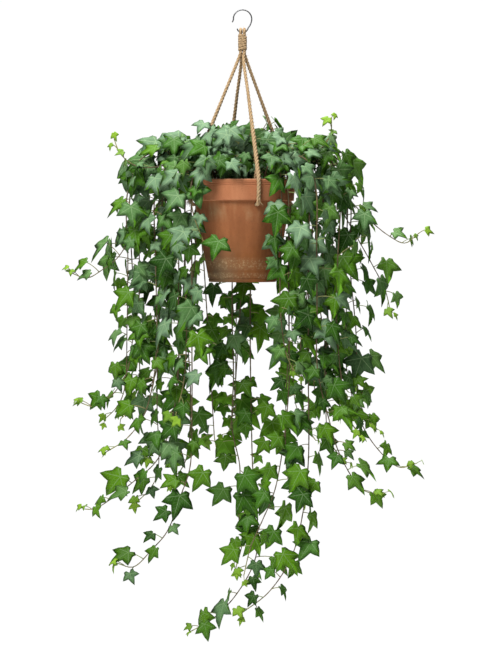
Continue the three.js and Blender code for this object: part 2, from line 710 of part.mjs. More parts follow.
const group = new THREE.Group();
group.name = 'potted_ivy';
group.add(named('pot', fixed.pot, MATERIALS.terracotta));
group.add(named('soil', makeSoil(stems.map((stem) => stem.points[0])), MATERIALS.soil));
group.add(named('hook', makeHook(), MATERIALS.steel));
group.add(named('cord_front_right', fixed.cord_front_right, MATERIALS.jute));
group.add(named('cord_back_left', fixed.cord_back_left, MATERIALS.jute));
group.add(named('whipping', makeWhipping(), MATERIALS.jute));
stems.forEach((stem, owner) => {
  const own = taken.filter((piece) => piece.owner === owner).map((piece) => piece.solid);
  group.add(named(stem.name, wasm.Manifold.union(own), MATERIALS.leaf));
});

export default group;
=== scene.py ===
# %% [markdown]
# # A hanging pot of ivy
# The real thing is a clay pot that hangs by two jute cords from a steel hook, with ivy rooted
# in its soil. The model from the CAD step gives every piece its place and size. This lesson
# dresses it: each plain piece is replaced by a finer one in the same place, and each gets a
# finish made of shader nodes. Everything is in metres, +Z is up and -Y is the front, and the
# origin is the top of the hook's bow, where the whole thing is hung.

# %% Load the frame
import math

import bpy
import numpy as np
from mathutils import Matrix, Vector


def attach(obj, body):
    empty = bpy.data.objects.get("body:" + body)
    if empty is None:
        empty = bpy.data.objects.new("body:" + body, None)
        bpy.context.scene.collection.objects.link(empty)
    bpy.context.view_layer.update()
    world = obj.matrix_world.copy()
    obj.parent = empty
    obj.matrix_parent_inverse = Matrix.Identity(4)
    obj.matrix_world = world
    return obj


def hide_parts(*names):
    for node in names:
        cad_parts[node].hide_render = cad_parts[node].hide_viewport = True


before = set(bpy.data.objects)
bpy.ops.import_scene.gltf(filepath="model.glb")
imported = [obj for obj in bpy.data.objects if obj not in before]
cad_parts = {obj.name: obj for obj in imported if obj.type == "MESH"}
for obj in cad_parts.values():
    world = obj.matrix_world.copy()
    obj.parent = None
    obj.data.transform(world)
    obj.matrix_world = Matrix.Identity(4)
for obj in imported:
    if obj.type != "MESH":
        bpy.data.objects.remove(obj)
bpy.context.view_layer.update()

# %% [markdown]
# ## The camera
# A view is set by where the eye stands, how far it tips and how long its lens is. Here the eye
# is 4 m in front of the pot, level with the pot's middle, so that the rim and the foot both show
# as flat lines and the soil stays hidden. A long lens brings it close.

# %% Place the camera
MM = 0.001
EYE = Vector((0.0, -4.0, -0.35))
LOOK_DOWN = math.radians(1.83)
LENS_MM = 145.4


def put(name, data):
    """A new object of the data, linked to the scene."""
    made = bpy.data.objects.new(name, data)
    bpy.context.scene.collection.objects.link(made)
    return made


def make_camera():
    """A camera at EYE that looks along +Y, tipped down by LOOK_DOWN."""
    data = bpy.data.cameras.new("camera")
    data.lens = LENS_MM
    data.sensor_width = 36
    camera = put("camera", data)
    camera.location = EYE
    camera.rotation_euler = (math.pi / 2 - LOOK_DOWN, 0, 0)
    bpy.context.scene.camera = camera


make_camera()
print("camera", tuple(EYE), "with a lens of", LENS_MM, "mm")

# %% [markdown]
# ## Meshes from arrays
# A modelling program can be driven by hand, by modifiers or by sums. This object is mostly
# things that repeat by a rule, so sums suit it: each surface is a formula over a grid of two
# numbers, worked out for all corners at once, and handed to Blender as arrays.

# %% Put arrays into a mesh
def as_mesh(name, corners, faces, uv=None, smooth=True, **attributes):
    """A mesh from an array of corners and a list of face arrays, each of three or four columns.
    uv holds two numbers for each corner. An attribute holds one number or three for each
    corner, or one number for each face."""
    mesh = bpy.data.meshes.new(name)
    loops = np.concatenate([part.ravel() for part in faces]).astype(np.int32)
    counts = np.concatenate([np.full(len(part), part.shape[1]) for part in faces])
    starts = np.concatenate([[0], np.cumsum(counts)[:-1]]).astype(np.int32)
    mesh.vertices.add(len(corners))
    mesh.vertices.foreach_set("co", np.asarray(corners, np.float32).ravel())
    mesh.loops.add(len(loops))
    mesh.loops.foreach_set("vertex_index", loops)
    mesh.polygons.add(len(counts))
    mesh.polygons.foreach_set("loop_start", starts)
    mesh.update(calc_edges=True)
    mesh.polygons.foreach_set("use_smooth", np.full(len(counts), smooth))
    if uv is not None:
        layer = mesh.uv_layers.new(name="leaf_map")
        layer.uv.foreach_set("vector", np.asarray(uv, np.float32)[loops].ravel())
    for key, values in attributes.items():
        values = np.asarray(values, np.float32)
        domain = "FACE" if len(values) == len(counts) else "POINT"
        if values.ndim == 2:
            mesh.attributes.new(key, "FLOAT_VECTOR", domain).data.foreach_set("vector", values.ravel())
        else:
            mesh.attributes.new(key, "FLOAT", domain).data.foreach_set("value", values)
    mesh.validate()
    return mesh


worn = {}


def as_piece(mesh, slot, *nodes):
    """An object of the mesh that rides on the frame, stands for the CAD nodes and has a slot. worn
    lists the meshes of each slot, for the finish that is made later."""
    made = put(mesh.name, mesh)
    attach(made, "root")
    if nodes:
        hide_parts(*nodes)
    worn.setdefault(slot, []).append(mesh)


print("ready to make meshes")

# %% [markdown]
# ## Lines and tubes
# Cords, wires, stems and stalks are all a section carried along a line. The line goes through
# a few given places. A centripetal Catmull-Rom curve joins them, because it bends smoothly,
# passes through every place and never loops over itself between two of them.

# %% Carry a section along a line
def unit(v):
    """Each row divided by its own length."""
    return v / np.maximum(np.linalg.norm(v, axis=-1, keepdims=True), 1e-12)


def curve_at(places, t):
    """Points on the centripetal Catmull-Rom curve through the places, where t = 2.5 is half way
    from the third place to the fourth. Each stretch is the cubic with its two ends p1 and p2 and
    the slopes m = (p1-p0)/k0 - (p2-p0)/(k0+k1) + (p2-p1)/k1 times k1, k being the root of a gap."""
    places = np.asarray(places, float)
    padded = np.vstack([2 * places[0] - places[1], places, 2 * places[-1] - places[-2]])
    t = np.asarray(t, float)
    i = np.clip(np.floor(t).astype(int), 0, len(places) - 2)
    s = (t - i)[:, None]
    p0, p1, p2, p3 = (padded[i + k] for k in range(4))
    k0, k1, k2 = (
        np.sqrt(np.linalg.norm(b - a, axis=1, keepdims=True)) for a, b in ((p0, p1), (p1, p2), (p2, p3))
    )
    m1 = k1 * ((p1 - p0) / k0 - (p2 - p0) / (k0 + k1)) + p2 - p1
    m2 = k1 * ((p3 - p2) / k2 - (p3 - p1) / (k1 + k2)) + p2 - p1
    near = p1 * (2 * s**3 - 3 * s**2 + 1) + m1 * (s**3 - 2 * s**2 + s)
    return near + p2 * (3 * s**2 - 2 * s**3) + m2 * (s**3 - s**2)


def way_along(line):
    """How far each point lies along the line from its first one."""
    return np.concatenate([[0], np.cumsum(np.linalg.norm(np.diff(line, axis=0), axis=1))])


def even_line(places, gap):
    """Points about gap apart on the curve through the places, and the value of t at each."""
    fine = np.linspace(0, len(places) - 1, 40 * len(places))
    line = curve_at(places, fine)
    walked = way_along(line)
    count = max(int(walked[-1] / gap) + 1, 3)
    t = np.interp(np.linspace(0, walked[-1], count), walked, fine)
    return curve_at(places, t), t


def tube(line, beside, radius, sides):
    """Corners and faces of one tube along a line: each ring is the point plus radius times
    (side cos a + up sin a), where side is beside without its part along the line. radius is one
    number, one for each ring, or one for each corner. Both ends close in a fan."""
    beside = np.broadcast_to(np.asarray(beside, float), line.shape)
    radius = np.asarray(radius, float)
    radius = radius.reshape(1, len(line), -1, 1) if radius.ndim else radius
    return many_tubes(line[None], beside[None], radius, sides)[0], tube_faces(len(line), sides)


def tube_faces(rings, sides):
    """Quads between neighbouring rings and a fan of triangles to each end's middle point."""
    a = np.arange(rings * sides).reshape(rings, sides)
    b = np.roll(a, -1, axis=1)
    walls = np.stack([a[:-1], b[:-1], b[1:], a[1:]], axis=-1).reshape(-1, 4)
    first = np.stack([np.full(sides, rings * sides), b[0], a[0]], axis=-1)
    last = np.stack([np.full(sides, rings * sides + 1), a[-1], b[-1]], axis=-1)
    return [walls, first, last]


def many_tubes(line, flank, radius, sides):
    """Corners of many short tubes at once, ring after ring and then the two ends' middles. line
    holds a row of points for each tube, and flank a direction that isn't along it."""
    along = unit(np.gradient(line, axis=1))
    side = unit(flank - along * np.sum(flank * along, axis=2, keepdims=True))
    up = np.cross(along, side)
    angle = np.linspace(0, 2 * np.pi, sides, endpoint=False)
    ring = side[:, :, None] * np.cos(angle)[:, None] + up[:, :, None] * np.sin(angle)[:, None]
    rings = (line[:, :, None] + ring * radius).reshape(len(line), -1, 3)
    return np.concatenate([rings, line[:, :1], line[:, -1:]], axis=1)


def repeated(faces, corners, count):
    """The same faces for each of count copies that have so many corners each."""
    shift = corners * np.arange(count)[:, None, None]
    return [(part + shift).reshape(-1, part.shape[1]) for part in faces]


def polar(azimuth, radius, z):
    """The point at an azimuth in degrees, counted from the front towards +X."""
    a = np.radians(azimuth)
    return np.stack(np.broadcast_arrays(radius * np.sin(a), -radius * np.cos(a), z), axis=-1)


print("a quarter turn:", polar(90, 1.0, 0.0).round(3))

# %% [markdown]
# ## The jute cords
# Two cords carry the pot. Each starts as an eye splice through a hole under the rim, rises
# beside the rim, goes over the lower bow of the hook and comes down to the next hole. Real jute
# cord is three strands laid round each other. A twisted pattern in the material alone would
# look flat at the edges, so the section itself has three lobes, turned as it goes along.

# %% Lay the cords
HANG_DROP = 257 * MM
RIM_Z = -HANG_DROP
CORD_RADIUS = 2.6 * MM
HOOK_WIRE = 1 * MM
STRAND_OFFSET = 2.75 * MM
BIGHT_Z = -28.3 * MM
WHIP_TOP = -36 * MM
WHIP_BOTTOM = -60 * MM
FIT_GAP = 0.4 * MM
CORD_AZIMUTHS = (17, 119, 197, 287)
QUARTER_TURN = 28
CORD_LAY = 17 * MM
CORD_GAP = 1.2 * MM
CORD_SIDES = 24
LOBE_DEPTH = 0.36
SPLICE_START = 8
SPLICE_END = 17
SPLICE_SWELL = 0.26
FUZZ = 520
FRAYED = 30
FRAYED_AT = (84.2 * MM, RIM_Z - 31 * MM)
FIBRE_RINGS = 4
HAIR = 0.09 * MM
FRAYED_HAIR = 0.16 * MM
CORD_LEG = [
    (75, 19), (70.6, 11), (66.4, 2), (63.6, -8), (62.8, -18), (62.2, -28),
    (63.6, -35.6), (67.6, -38), (73, -38), (77.2, -37.6), (80.2, -35.6), (81.8, -31),
    (82.8, -22), (83.3, -10), (83.4, -3), (82.4, 2.4), (78.6, 12),
]
LEG_TOP = (5.4, -71)
LEG_STEPS = 3


def leg_places(azimuth):
    """The places of one leg, from its splice through the hole and up to the whipping's top."""
    leg = [polar(azimuth, radius * MM, RIM_Z + z * MM) for radius, z in CORD_LEG]
    low, high = leg[-1], polar(azimuth, LEG_TOP[0] * MM, LEG_TOP[1] * MM)
    leg += [low + (high - low) * k / LEG_STEPS for k in range(1, LEG_STEPS + 1)]
    corner = math.radians(azimuth + QUARTER_TURN)
    x = math.copysign(STRAND_OFFSET, math.sin(corner))
    y = -math.copysign(STRAND_OFFSET, math.cos(corner))
    top = [np.array([x, y, z]) for z in (WHIP_BOTTOM - 3.5 * MM, WHIP_BOTTOM + 3 * MM, WHIP_TOP)]
    return leg + top


def cord_places(first_azimuth, second_azimuth):
    """A leg, the half turn over the hook and the other leg back down: the places, and for each a
    direction beside the cord."""
    first = leg_places(first_azimuth)
    second = leg_places(second_azimuth)[::-1]
    reach = HOOK_WIRE + CORD_RADIUS + FIT_GAP
    side = np.sign(second[0][1] - first[-1][1])
    over = []
    for angle in np.radians([5, 35, 65, 90, 115, 145, 175]):
        y = -side * reach * math.cos(angle)
        over.append(np.array([first[-1][0], y, BIGHT_Z - reach + reach * math.sin(angle)]))
    beside = [polar(first_azimuth + 90, 1.0, 0.0)] * len(first)
    across = np.array([side * (-1.0 if first_azimuth < 180 else 1.0), 0.0, 0.0])
    beside += [across * np.sign(across @ beside[0])] * len(over)
    last = polar(second_azimuth + 90, 1.0, 0.0)
    beside += [last * np.sign(last @ polar(first_azimuth + 180, 1.0, 0.0))] * len(second)
    return np.array(first + over + second), np.array(beside)


def twist(line, sides):
    """Along a three-strand cord: the angles round a ring, the same less the strands' turn of one
    round for each CORD_LAY, and the way along."""
    way = way_along(line)
    angle = np.linspace(0, 2 * np.pi, sides, endpoint=False)[None, :]
    return angle, angle - 2 * np.pi * way[:, None] / CORD_LAY, way


def untwisted(radius, own, way):
    """Each corner's place in the straight cord before it was laid, for the fibres' pattern."""
    straight = np.stack([radius * np.cos(own), radius * np.sin(own), way[:, None] + 0 * own], axis=-1)
    return np.vstack([straight.reshape(-1, 3), [0, 0, 0], [0, 0, way[-1]]])


def lay_cord(places, beside):
    """A three-strand cord: ring radius R (1 - LOBE_DEPTH (1 - crest)), crest = |cos 1.5 own|, with
    own the strands' angle. R is a quarter more where the cord is spliced back into itself."""
    line, t = even_line(places, CORD_GAP)
    beside = np.stack([np.interp(t, np.arange(len(beside)), column) for column in beside.T], axis=1)
    _, own, way = twist(line, CORD_SIDES)
    swell = np.minimum(t, len(places) - 1 - t)
    swell = np.clip(swell - SPLICE_START, 0, 3) / 3 * np.clip(SPLICE_END + 1 - swell, 0, 1)
    radius = CORD_RADIUS * (1 + SPLICE_SWELL * swell[:, None])
    crest = np.abs(np.cos(1.5 * own))
    corners, faces = tube(line, beside, radius * (1 - LOBE_DEPTH * (1 - crest)), CORD_SIDES)
    return corners, faces, untwisted(radius, own, way), np.append(crest, [1, 1]), line


def loose_fibres(start, way, length, thick, rng):
    """Curved hairs: each runs from its start along its way, and bends aside with the square of
    the distance."""
    s = np.linspace(0, 1, FIBRE_RINGS)[None, :, None]
    aside = unit(np.cross(way, rng.normal(size=way.shape)))
    line = start[:, None] + length[:, None, None] * (way[:, None] * s + 0.45 * aside[:, None] * s**2)
    return many_tubes(line, np.cross(way, aside)[:, None], thick, 3)


def fuzz(line, ends, seed):
    """Hairs all along a cord, and a frayed end at the rim's lower edge over each of its holes."""
    rng = np.random.default_rng(seed)
    at = rng.integers(2, len(line) - 2, FUZZ)
    along = unit(np.gradient(line, axis=0))[at]
    out = unit(np.cross(along, rng.normal(size=(FUZZ, 3))))
    way = unit(out + along * rng.uniform(-1.5, 1.5, (FUZZ, 1)))
    length = MM * rng.uniform(1.5, 4, FUZZ)
    hairs = [loose_fibres(line[at] + 0.8 * CORD_RADIUS * out, way, length, HAIR, rng)]
    for azimuth in ends:
        top = polar(azimuth, *FRAYED_AT) + MM * rng.uniform(-1.6, 1.6, (FRAYED, 3))
        way = unit(polar(azimuth, 0.35, -1.0) + rng.uniform(-0.35, 0.35, (FRAYED, 3)))
        hairs.append(loose_fibres(top, way, MM * rng.uniform(5, 10, FRAYED), FRAYED_HAIR, rng))
    return np.concatenate(hairs)


cord_lines = {}
for cord_name, ends in (("cord_front_right", CORD_AZIMUTHS[:2]), ("cord_back_left", CORD_AZIMUTHS[2:])):
    corners, faces, straight, crest, line = lay_cord(*cord_places(*ends))
    hairs = fuzz(line, ends, len(corners))
    hair_faces = repeated(tube_faces(FIBRE_RINGS, 3), hairs.shape[1], len(hairs))
    faces += [part + len(corners) for part in hair_faces]
    hairs = hairs.reshape(-1, 3)
    corners, straight = np.vstack([corners, hairs]), np.vstack([straight, hairs])
    crest = np.append(crest, np.ones(len(hairs)))
    mesh = as_mesh(cord_name + "_jute", corners, faces, unwound=straight, crest=crest)
    as_piece(mesh, "jute", cord_name)
    cord_lines[cord_name] = line
    print(cord_name, "is", round(float(way_along(line)[-1]), 4), "m long")

# %% [markdown]
# ## The whipping
# Under the hook the four strands are bound with six tight turns of the same jute. The binding
# lies on a rounded square, because four round strands stand side by side inside it. A helix
# carries a flattened cord round it, and the lowest turn is let down on one side, where the end
# was tucked under.

# %% Wind the whipping
WHIP_TURNS = 6
WHIP_LINE = 6.0 * MM
WHIP_HIGH = 2.3 * MM
WHIP_DEEP = 0.8 * MM
WHIP_LOBES = 0.55
WHIP_POINTS = 620
WHIP_SIDES = 16


def whipping_line(count):
    """A helix from WHIP_BOTTOM up to WHIP_TOP on a rounded square: the radius at angle a is
    WHIP_LINE (|cos a|^4 + |sin a|^4)^(-1/4). The first turn hangs down by a cosine on its left."""
    turn = np.linspace(0, WHIP_TURNS - 0.2, count)
    angle = 2 * np.pi * turn
    square = (np.abs(np.cos(angle)) ** 4 + np.abs(np.sin(angle)) ** 4) ** -0.25
    pitch = (WHIP_TOP - WHIP_BOTTOM - 2 * WHIP_HIGH) / (WHIP_TURNS - 1)
    height = WHIP_BOTTOM + WHIP_HIGH + pitch * np.clip(turn - 0.6, 0, WHIP_TURNS - 1)
    droop = 2.4 * MM * np.clip(1 - turn, 0, 1) * (0.5 - 0.5 * np.cos(angle))
    x, y = WHIP_LINE * square * np.cos(angle), WHIP_LINE * square * np.sin(angle)
    return np.stack([x, y, height - droop], axis=1)


def make_whipping():
    """The helix with an oval, three-lobed section that is flat against the strands."""
    line = whipping_line(WHIP_POINTS)
    angle, own, way = twist(line, WHIP_SIDES)
    crest = WHIP_LOBES * np.abs(np.cos(1.5 * own))
    oval = 1 / np.sqrt((np.cos(angle) / WHIP_DEEP) ** 2 + (np.sin(angle) / WHIP_HIGH) ** 2)
    corners, faces = tube(line, unit(line * [1, 1, 0]), oval * (0.78 + 0.4 * crest), WHIP_SIDES)
    # Passed on as crest, this also sets the jute finish's painted groove shade, which so covers more of the
    # whipping than of the cords.
    crest = np.append(crest, [1, 1])
    print("whipping:", WHIP_TURNS, "turns of a cord", round(float(way[-1]), 4), "m long")
    return as_mesh("whipping_jute", corners, faces, unwound=untwisted(oval, own, way), crest=crest)


as_piece(make_whipping(), "jute", "whipping")

# %% [markdown]
# ## The hook
# It is one length of steel wire bent into an open S. A round section along a smooth line is
# the whole of it, and its two cut ends are rounded over.

# %% Bend the hook
HOOK_BOW = 13 * MM
HOOK_GAP = 0.45 * MM
HOOK_SIDES = 16
HOOK_FLARE = (1.8 * MM, 5 * MM)
HOOK_LOWER = [
    (11.4, -22.3), (8.6, -26.6), (7.4, -29.2), (5.6, -31.5), (3, -32.3),
    (-3, -32.3), (-5.6, -31.5), (-7.4, -29.4), (-7.9, -27),
]


def make_hook():
    """The wire's line: a flared tip, an arc of the bow's radius about a centre one bow below the
    origin, then the lower bow. The radius at w from an end, in wire radii, is the wire's times
    the root of 1 - (1 - w)^2, so both ends are round."""
    bow = HOOK_BOW + HOOK_WIRE
    places = [(-bow - HOOK_FLARE[0], 0, -HOOK_BOW - HOOK_FLARE[1])]
    for angle in np.radians(np.arange(185, -16, -20)):
        places.append((bow * math.cos(angle), 0, -HOOK_BOW + bow * math.sin(angle)))
    places += [(x * MM, 0, z * MM) for x, z in HOOK_LOWER]
    line, _ = even_line(np.array(places), HOOK_GAP)
    way = np.linspace(0, 1, len(line)) * (len(line) - 1) * HOOK_GAP
    to_end = np.minimum(way, way[-1] - way)
    radius = HOOK_WIRE * np.sqrt(np.clip(1 - (1 - np.clip(to_end / HOOK_WIRE, 0, 1)) ** 2, 0.02, 1))
    return as_mesh("hook_wire", *tube(line, (0, 1, 0), radius, HOOK_SIDES))


as_piece(make_hook(), "steel", "hook")
print("hook bow:", 2 * HOOK_BOW / MM, "mm inside")

# %% [markdown]
# ## The pot
# A clay pot is pressed in a turning mould, so it is a profile turned about its axis. The
# profile is rounded where a finger would feel it round: the lip, the rim's lower edge and the
# foot. Two fine lines run round the rim. Four holes under the rim take the cords, and those
# are cut with a Boolean, the way a drill would.

# %% Turn the pot
POT_HEIGHT = 155 * MM
BASE_Z = RIM_Z - POT_HEIGHT
RIM_RADIUS = 80 * MM
RIM_HEIGHT = 32 * MM
RIM_TAPER = 1.7 * MM
RIM_LIP = 8 * MM
NECK_RADIUS = 73 * MM
BASE_RADIUS = 51.4 * MM
WALL = 6 * MM
FLOOR = 9 * MM
DRAIN_RADIUS = 9 * MM
CORD_HOLE_RADIUS = 3.1 * MM
CORD_HOLE_Z = RIM_Z - 38 * MM
POT_SIDES = 112
POT_EDGE = 1.3 * MM
GROOVES_BELOW = (8.7 * MM, 6.1 * MM)
GROOVE_HALF = 0.7 * MM
GROOVE_DEPTH = 0.8 * MM


def bent(a, middle, b, t):
    """Points of the curve (1-t)^2 a + 2 t (1-t) middle + t^2 b, which leans towards the middle."""
    return (1 - t) ** 2 * a[:, None] + 2 * t * (1 - t) * middle[:, None] + t**2 * b[:, None]


def rounded(points, bend):
    """The profile with each corner replaced by four points of a bent curve, which starts and ends
    up to bend away on the corner's two sides."""
    points = np.asarray(points, float)
    before, after = np.roll(points, 1, axis=0) - points, np.roll(points, -1, axis=0) - points
    short = np.minimum(np.linalg.norm(before, axis=1), np.linalg.norm(after, axis=1))
    reach = np.minimum(bend, 0.45 * short)[:, None]
    a, b = points + unit(before) * reach, points + unit(after) * reach
    return bent(a, points, b, np.array([0, 0.35, 0.65, 1])[None, :, None]).reshape(-1, 2)


def inner_radius(z):
    """The wall's inner side: it narrows from the lip to the neck, and from there to the floor."""
    neck, low = RIM_Z - RIM_HEIGHT - 2 * MM, BASE_Z + FLOOR
    places = [BASE_RADIUS - WALL, NECK_RADIUS - WALL, RIM_RADIUS - RIM_LIP]
    return np.interp(z, [low, neck, RIM_Z], places)


def pot_profile():
    """Radius and height of the section's corners, from the drain hole round the outside."""
    foot = RIM_Z - RIM_HEIGHT
    groove = []
    for below in GROOVES_BELOW:
        radius = RIM_RADIUS - RIM_TAPER * below / RIM_HEIGHT
        groove += [(radius, RIM_Z - below - GROOVE_HALF), (radius - GROOVE_DEPTH, RIM_Z - below),
                   (radius, RIM_Z - below + GROOVE_HALF)]
    return np.array([
        (DRAIN_RADIUS, BASE_Z), (BASE_RADIUS - 0.3 * MM, BASE_Z), (BASE_RADIUS + 0.4 * MM, BASE_Z + 4 * MM),
        (BASE_RADIUS - 0.6 * MM, BASE_Z + 5 * MM), (BASE_RADIUS + 0.9 * MM, BASE_Z + 6.4 * MM),
        (NECK_RADIUS, foot + 0.4 * MM), (RIM_RADIUS - RIM_TAPER, foot), *groove,
        (RIM_RADIUS, RIM_Z), (RIM_RADIUS - RIM_LIP, RIM_Z), (inner_radius(foot - 2 * MM), foot - 2 * MM),
        (BASE_RADIUS - WALL, BASE_Z + FLOOR), (DRAIN_RADIUS, BASE_Z + FLOOR),
    ])


def turned_mesh(name, profile, sides):
    """The profile turned about Z: each corner at (r sin a, -r cos a, z), closed both ways round."""
    angle = np.linspace(0, 360, sides, endpoint=False)[:, None]
    corners = polar(angle, profile[None, :, 0], profile[None, :, 1]).reshape(-1, 3)
    grid = np.arange(sides * len(profile)).reshape(sides, len(profile))
    beyond, above = np.roll(grid, -1, axis=0), np.roll(grid, -1, axis=1)
    corner = np.roll(beyond, -1, axis=1)
    quads = np.stack([grid, beyond, corner, above], axis=-1).reshape(-1, 4)
    return as_mesh(name, corners, [quads])


def drill_holes(mesh):
    """The mesh less four short rods that lie along the cords' radii."""
    pot = put("turned_pot", mesh)
    rods, faces = [], []
    for azimuth in CORD_AZIMUTHS:
        line = polar(azimuth, np.linspace(NECK_RADIUS - 12 * MM, NECK_RADIUS + 9 * MM, 3), CORD_HOLE_Z)
        corners, walls = tube(line, (0, 0, 1), CORD_HOLE_RADIUS, 24)
        faces += [part + sum(len(rod) for rod in rods) for part in walls]
        rods.append(corners)
    drill = put("drill", as_mesh("drill", np.vstack(rods), faces))
    cut = pot.modifiers.new("holes", "BOOLEAN")
    cut.object = drill
    cut.solver = "EXACT"
    drilled = bpy.data.meshes.new_from_object(pot.evaluated_get(bpy.context.evaluated_depsgraph_get()))
    drilled.name = "clay_pot"
    bpy.data.objects.remove(drill)
    bpy.data.objects.remove(pot)
    return drilled


pot_mesh = drill_holes(turned_mesh("turned_pot", rounded(pot_profile(), POT_EDGE), POT_SIDES))
pot_mesh.polygons.foreach_set("use_smooth", np.full(len(pot_mesh.polygons), True))
pot_mesh.set_sharp_from_angle(angle=math.radians(40))
as_piece(pot_mesh, "terracotta", "pot")
print("pot:", len(pot_mesh.polygons), "faces")

# %% [markdown]
# ## The soil
# Potting soil is loose and lumpy. Only a little of it shows between the stems, from above. The
# body is turned like the pot's inside, its top is a height field of three sizes of noise, and
# a few hundred crumbs with a few faces each lie on it.

# %% Fill the soil
SOIL_Z = RIM_Z - 22 * MM
SOIL_SIDES = 90
# Height and width of the lumps in millimetres, and the seed of their noise.
SOIL_LUMPS = ((1.6, 14, 3), (0.9, 6, 4), (0.5, 2.5, 5))
CRUMBS = 260
CRUMB_SIZE = (0.7, 2.4)


def lumps(x, y, size, seed):
    """Smooth noise: random heights on a square grid of the given size, blended between corners
    with the weight 3 w^2 - 2 w^3."""
    heights = np.random.default_rng(seed).uniform(-1, 1, (64, 64))
    i, j = np.floor(x / size).astype(int), np.floor(y / size).astype(int)
    u, v = x / size - i, y / size - j
    u, v = u * u * (3 - 2 * u), v * v * (3 - 2 * v)
    low = heights[i % 64, j % 64] * (1 - u) + heights[(i + 1) % 64, j % 64] * u
    high = heights[i % 64, (j + 1) % 64] * (1 - u) + heights[(i + 1) % 64, (j + 1) % 64] * u
    return low * (1 - v) + high * v


def make_soil():
    """Rings from the floor's middle out, up the wall and in over the top, where the height is
    SOIL_Z less 1.2 mm plus the lumps, and near the wall the lumps give way to a dip of 3 mm."""
    low, neck = BASE_Z + FLOOR + FIT_GAP, RIM_Z - RIM_HEIGHT - 2 * MM
    wall_z = np.array([low, neck, SOIL_Z - 3 * MM])
    wall_r = inner_radius(wall_z) - FIT_GAP
    top_r = np.linspace(1, 0.02, 34) * (inner_radius(SOIL_Z) - FIT_GAP)
    radius = np.concatenate([[0.3 * MM], wall_r, top_r])
    height = np.concatenate([[low], wall_z, np.full(len(top_r), SOIL_Z)])
    angle = np.linspace(0, 360, SOIL_SIDES, endpoint=False)
    corners = polar(angle[None, :], radius[:, None], height[:, None])
    top = corners[-len(top_r):]
    x, y = top[..., 0], top[..., 1]
    rough = sum(high * lumps(x, y, wide * MM, seed) for high, wide, seed in SOIL_LUMPS)
    edge = np.clip((top_r / top_r[0] - 0.86) / 0.14, 0, 1)[:, None]
    top[..., 2] += MM * (rough * (1 - edge) - 3 * edge - 1.2)
    flat = np.vstack([corners.reshape(-1, 3), [0, 0, low], [0, 0, SOIL_Z]])
    crumbs, crumb_faces = make_crumbs(CRUMBS)
    faces = [part[:, ::-1] for part in tube_faces(len(radius), SOIL_SIDES)]
    faces += [part + len(flat) for part in crumb_faces]
    return as_mesh("potting_soil", np.vstack([flat, crumbs]), faces, smooth=False)


def make_crumbs(count):
    """Eight-faced crumbs over the soil: six corners at random distances along the three axes."""
    rng = np.random.default_rng(11)
    radius = 58 * MM * np.sqrt(rng.uniform(0, 1, count))
    centre = polar(rng.uniform(0, 360, count), radius, SOIL_Z - 0.4 * MM)
    size = MM * rng.uniform(*CRUMB_SIZE, (count, 6, 1))
    axes = np.array([[1, 0, 0], [0, 1, 0], [-1, 0, 0], [0, -1, 0], [0, 0, 1], [0, 0, -1]])
    corners = centre[:, None] + axes[None] * size
    side = np.array([[k, (k + 1) % 4, 4] for k in range(4)] + [[(k + 1) % 4, k, 5] for k in range(4)])
    return corners.reshape(-1, 3), repeated([side], 6, count)


as_piece(make_soil(), "soil", "soil")
print("soil top at", round(SOIL_Z, 3))
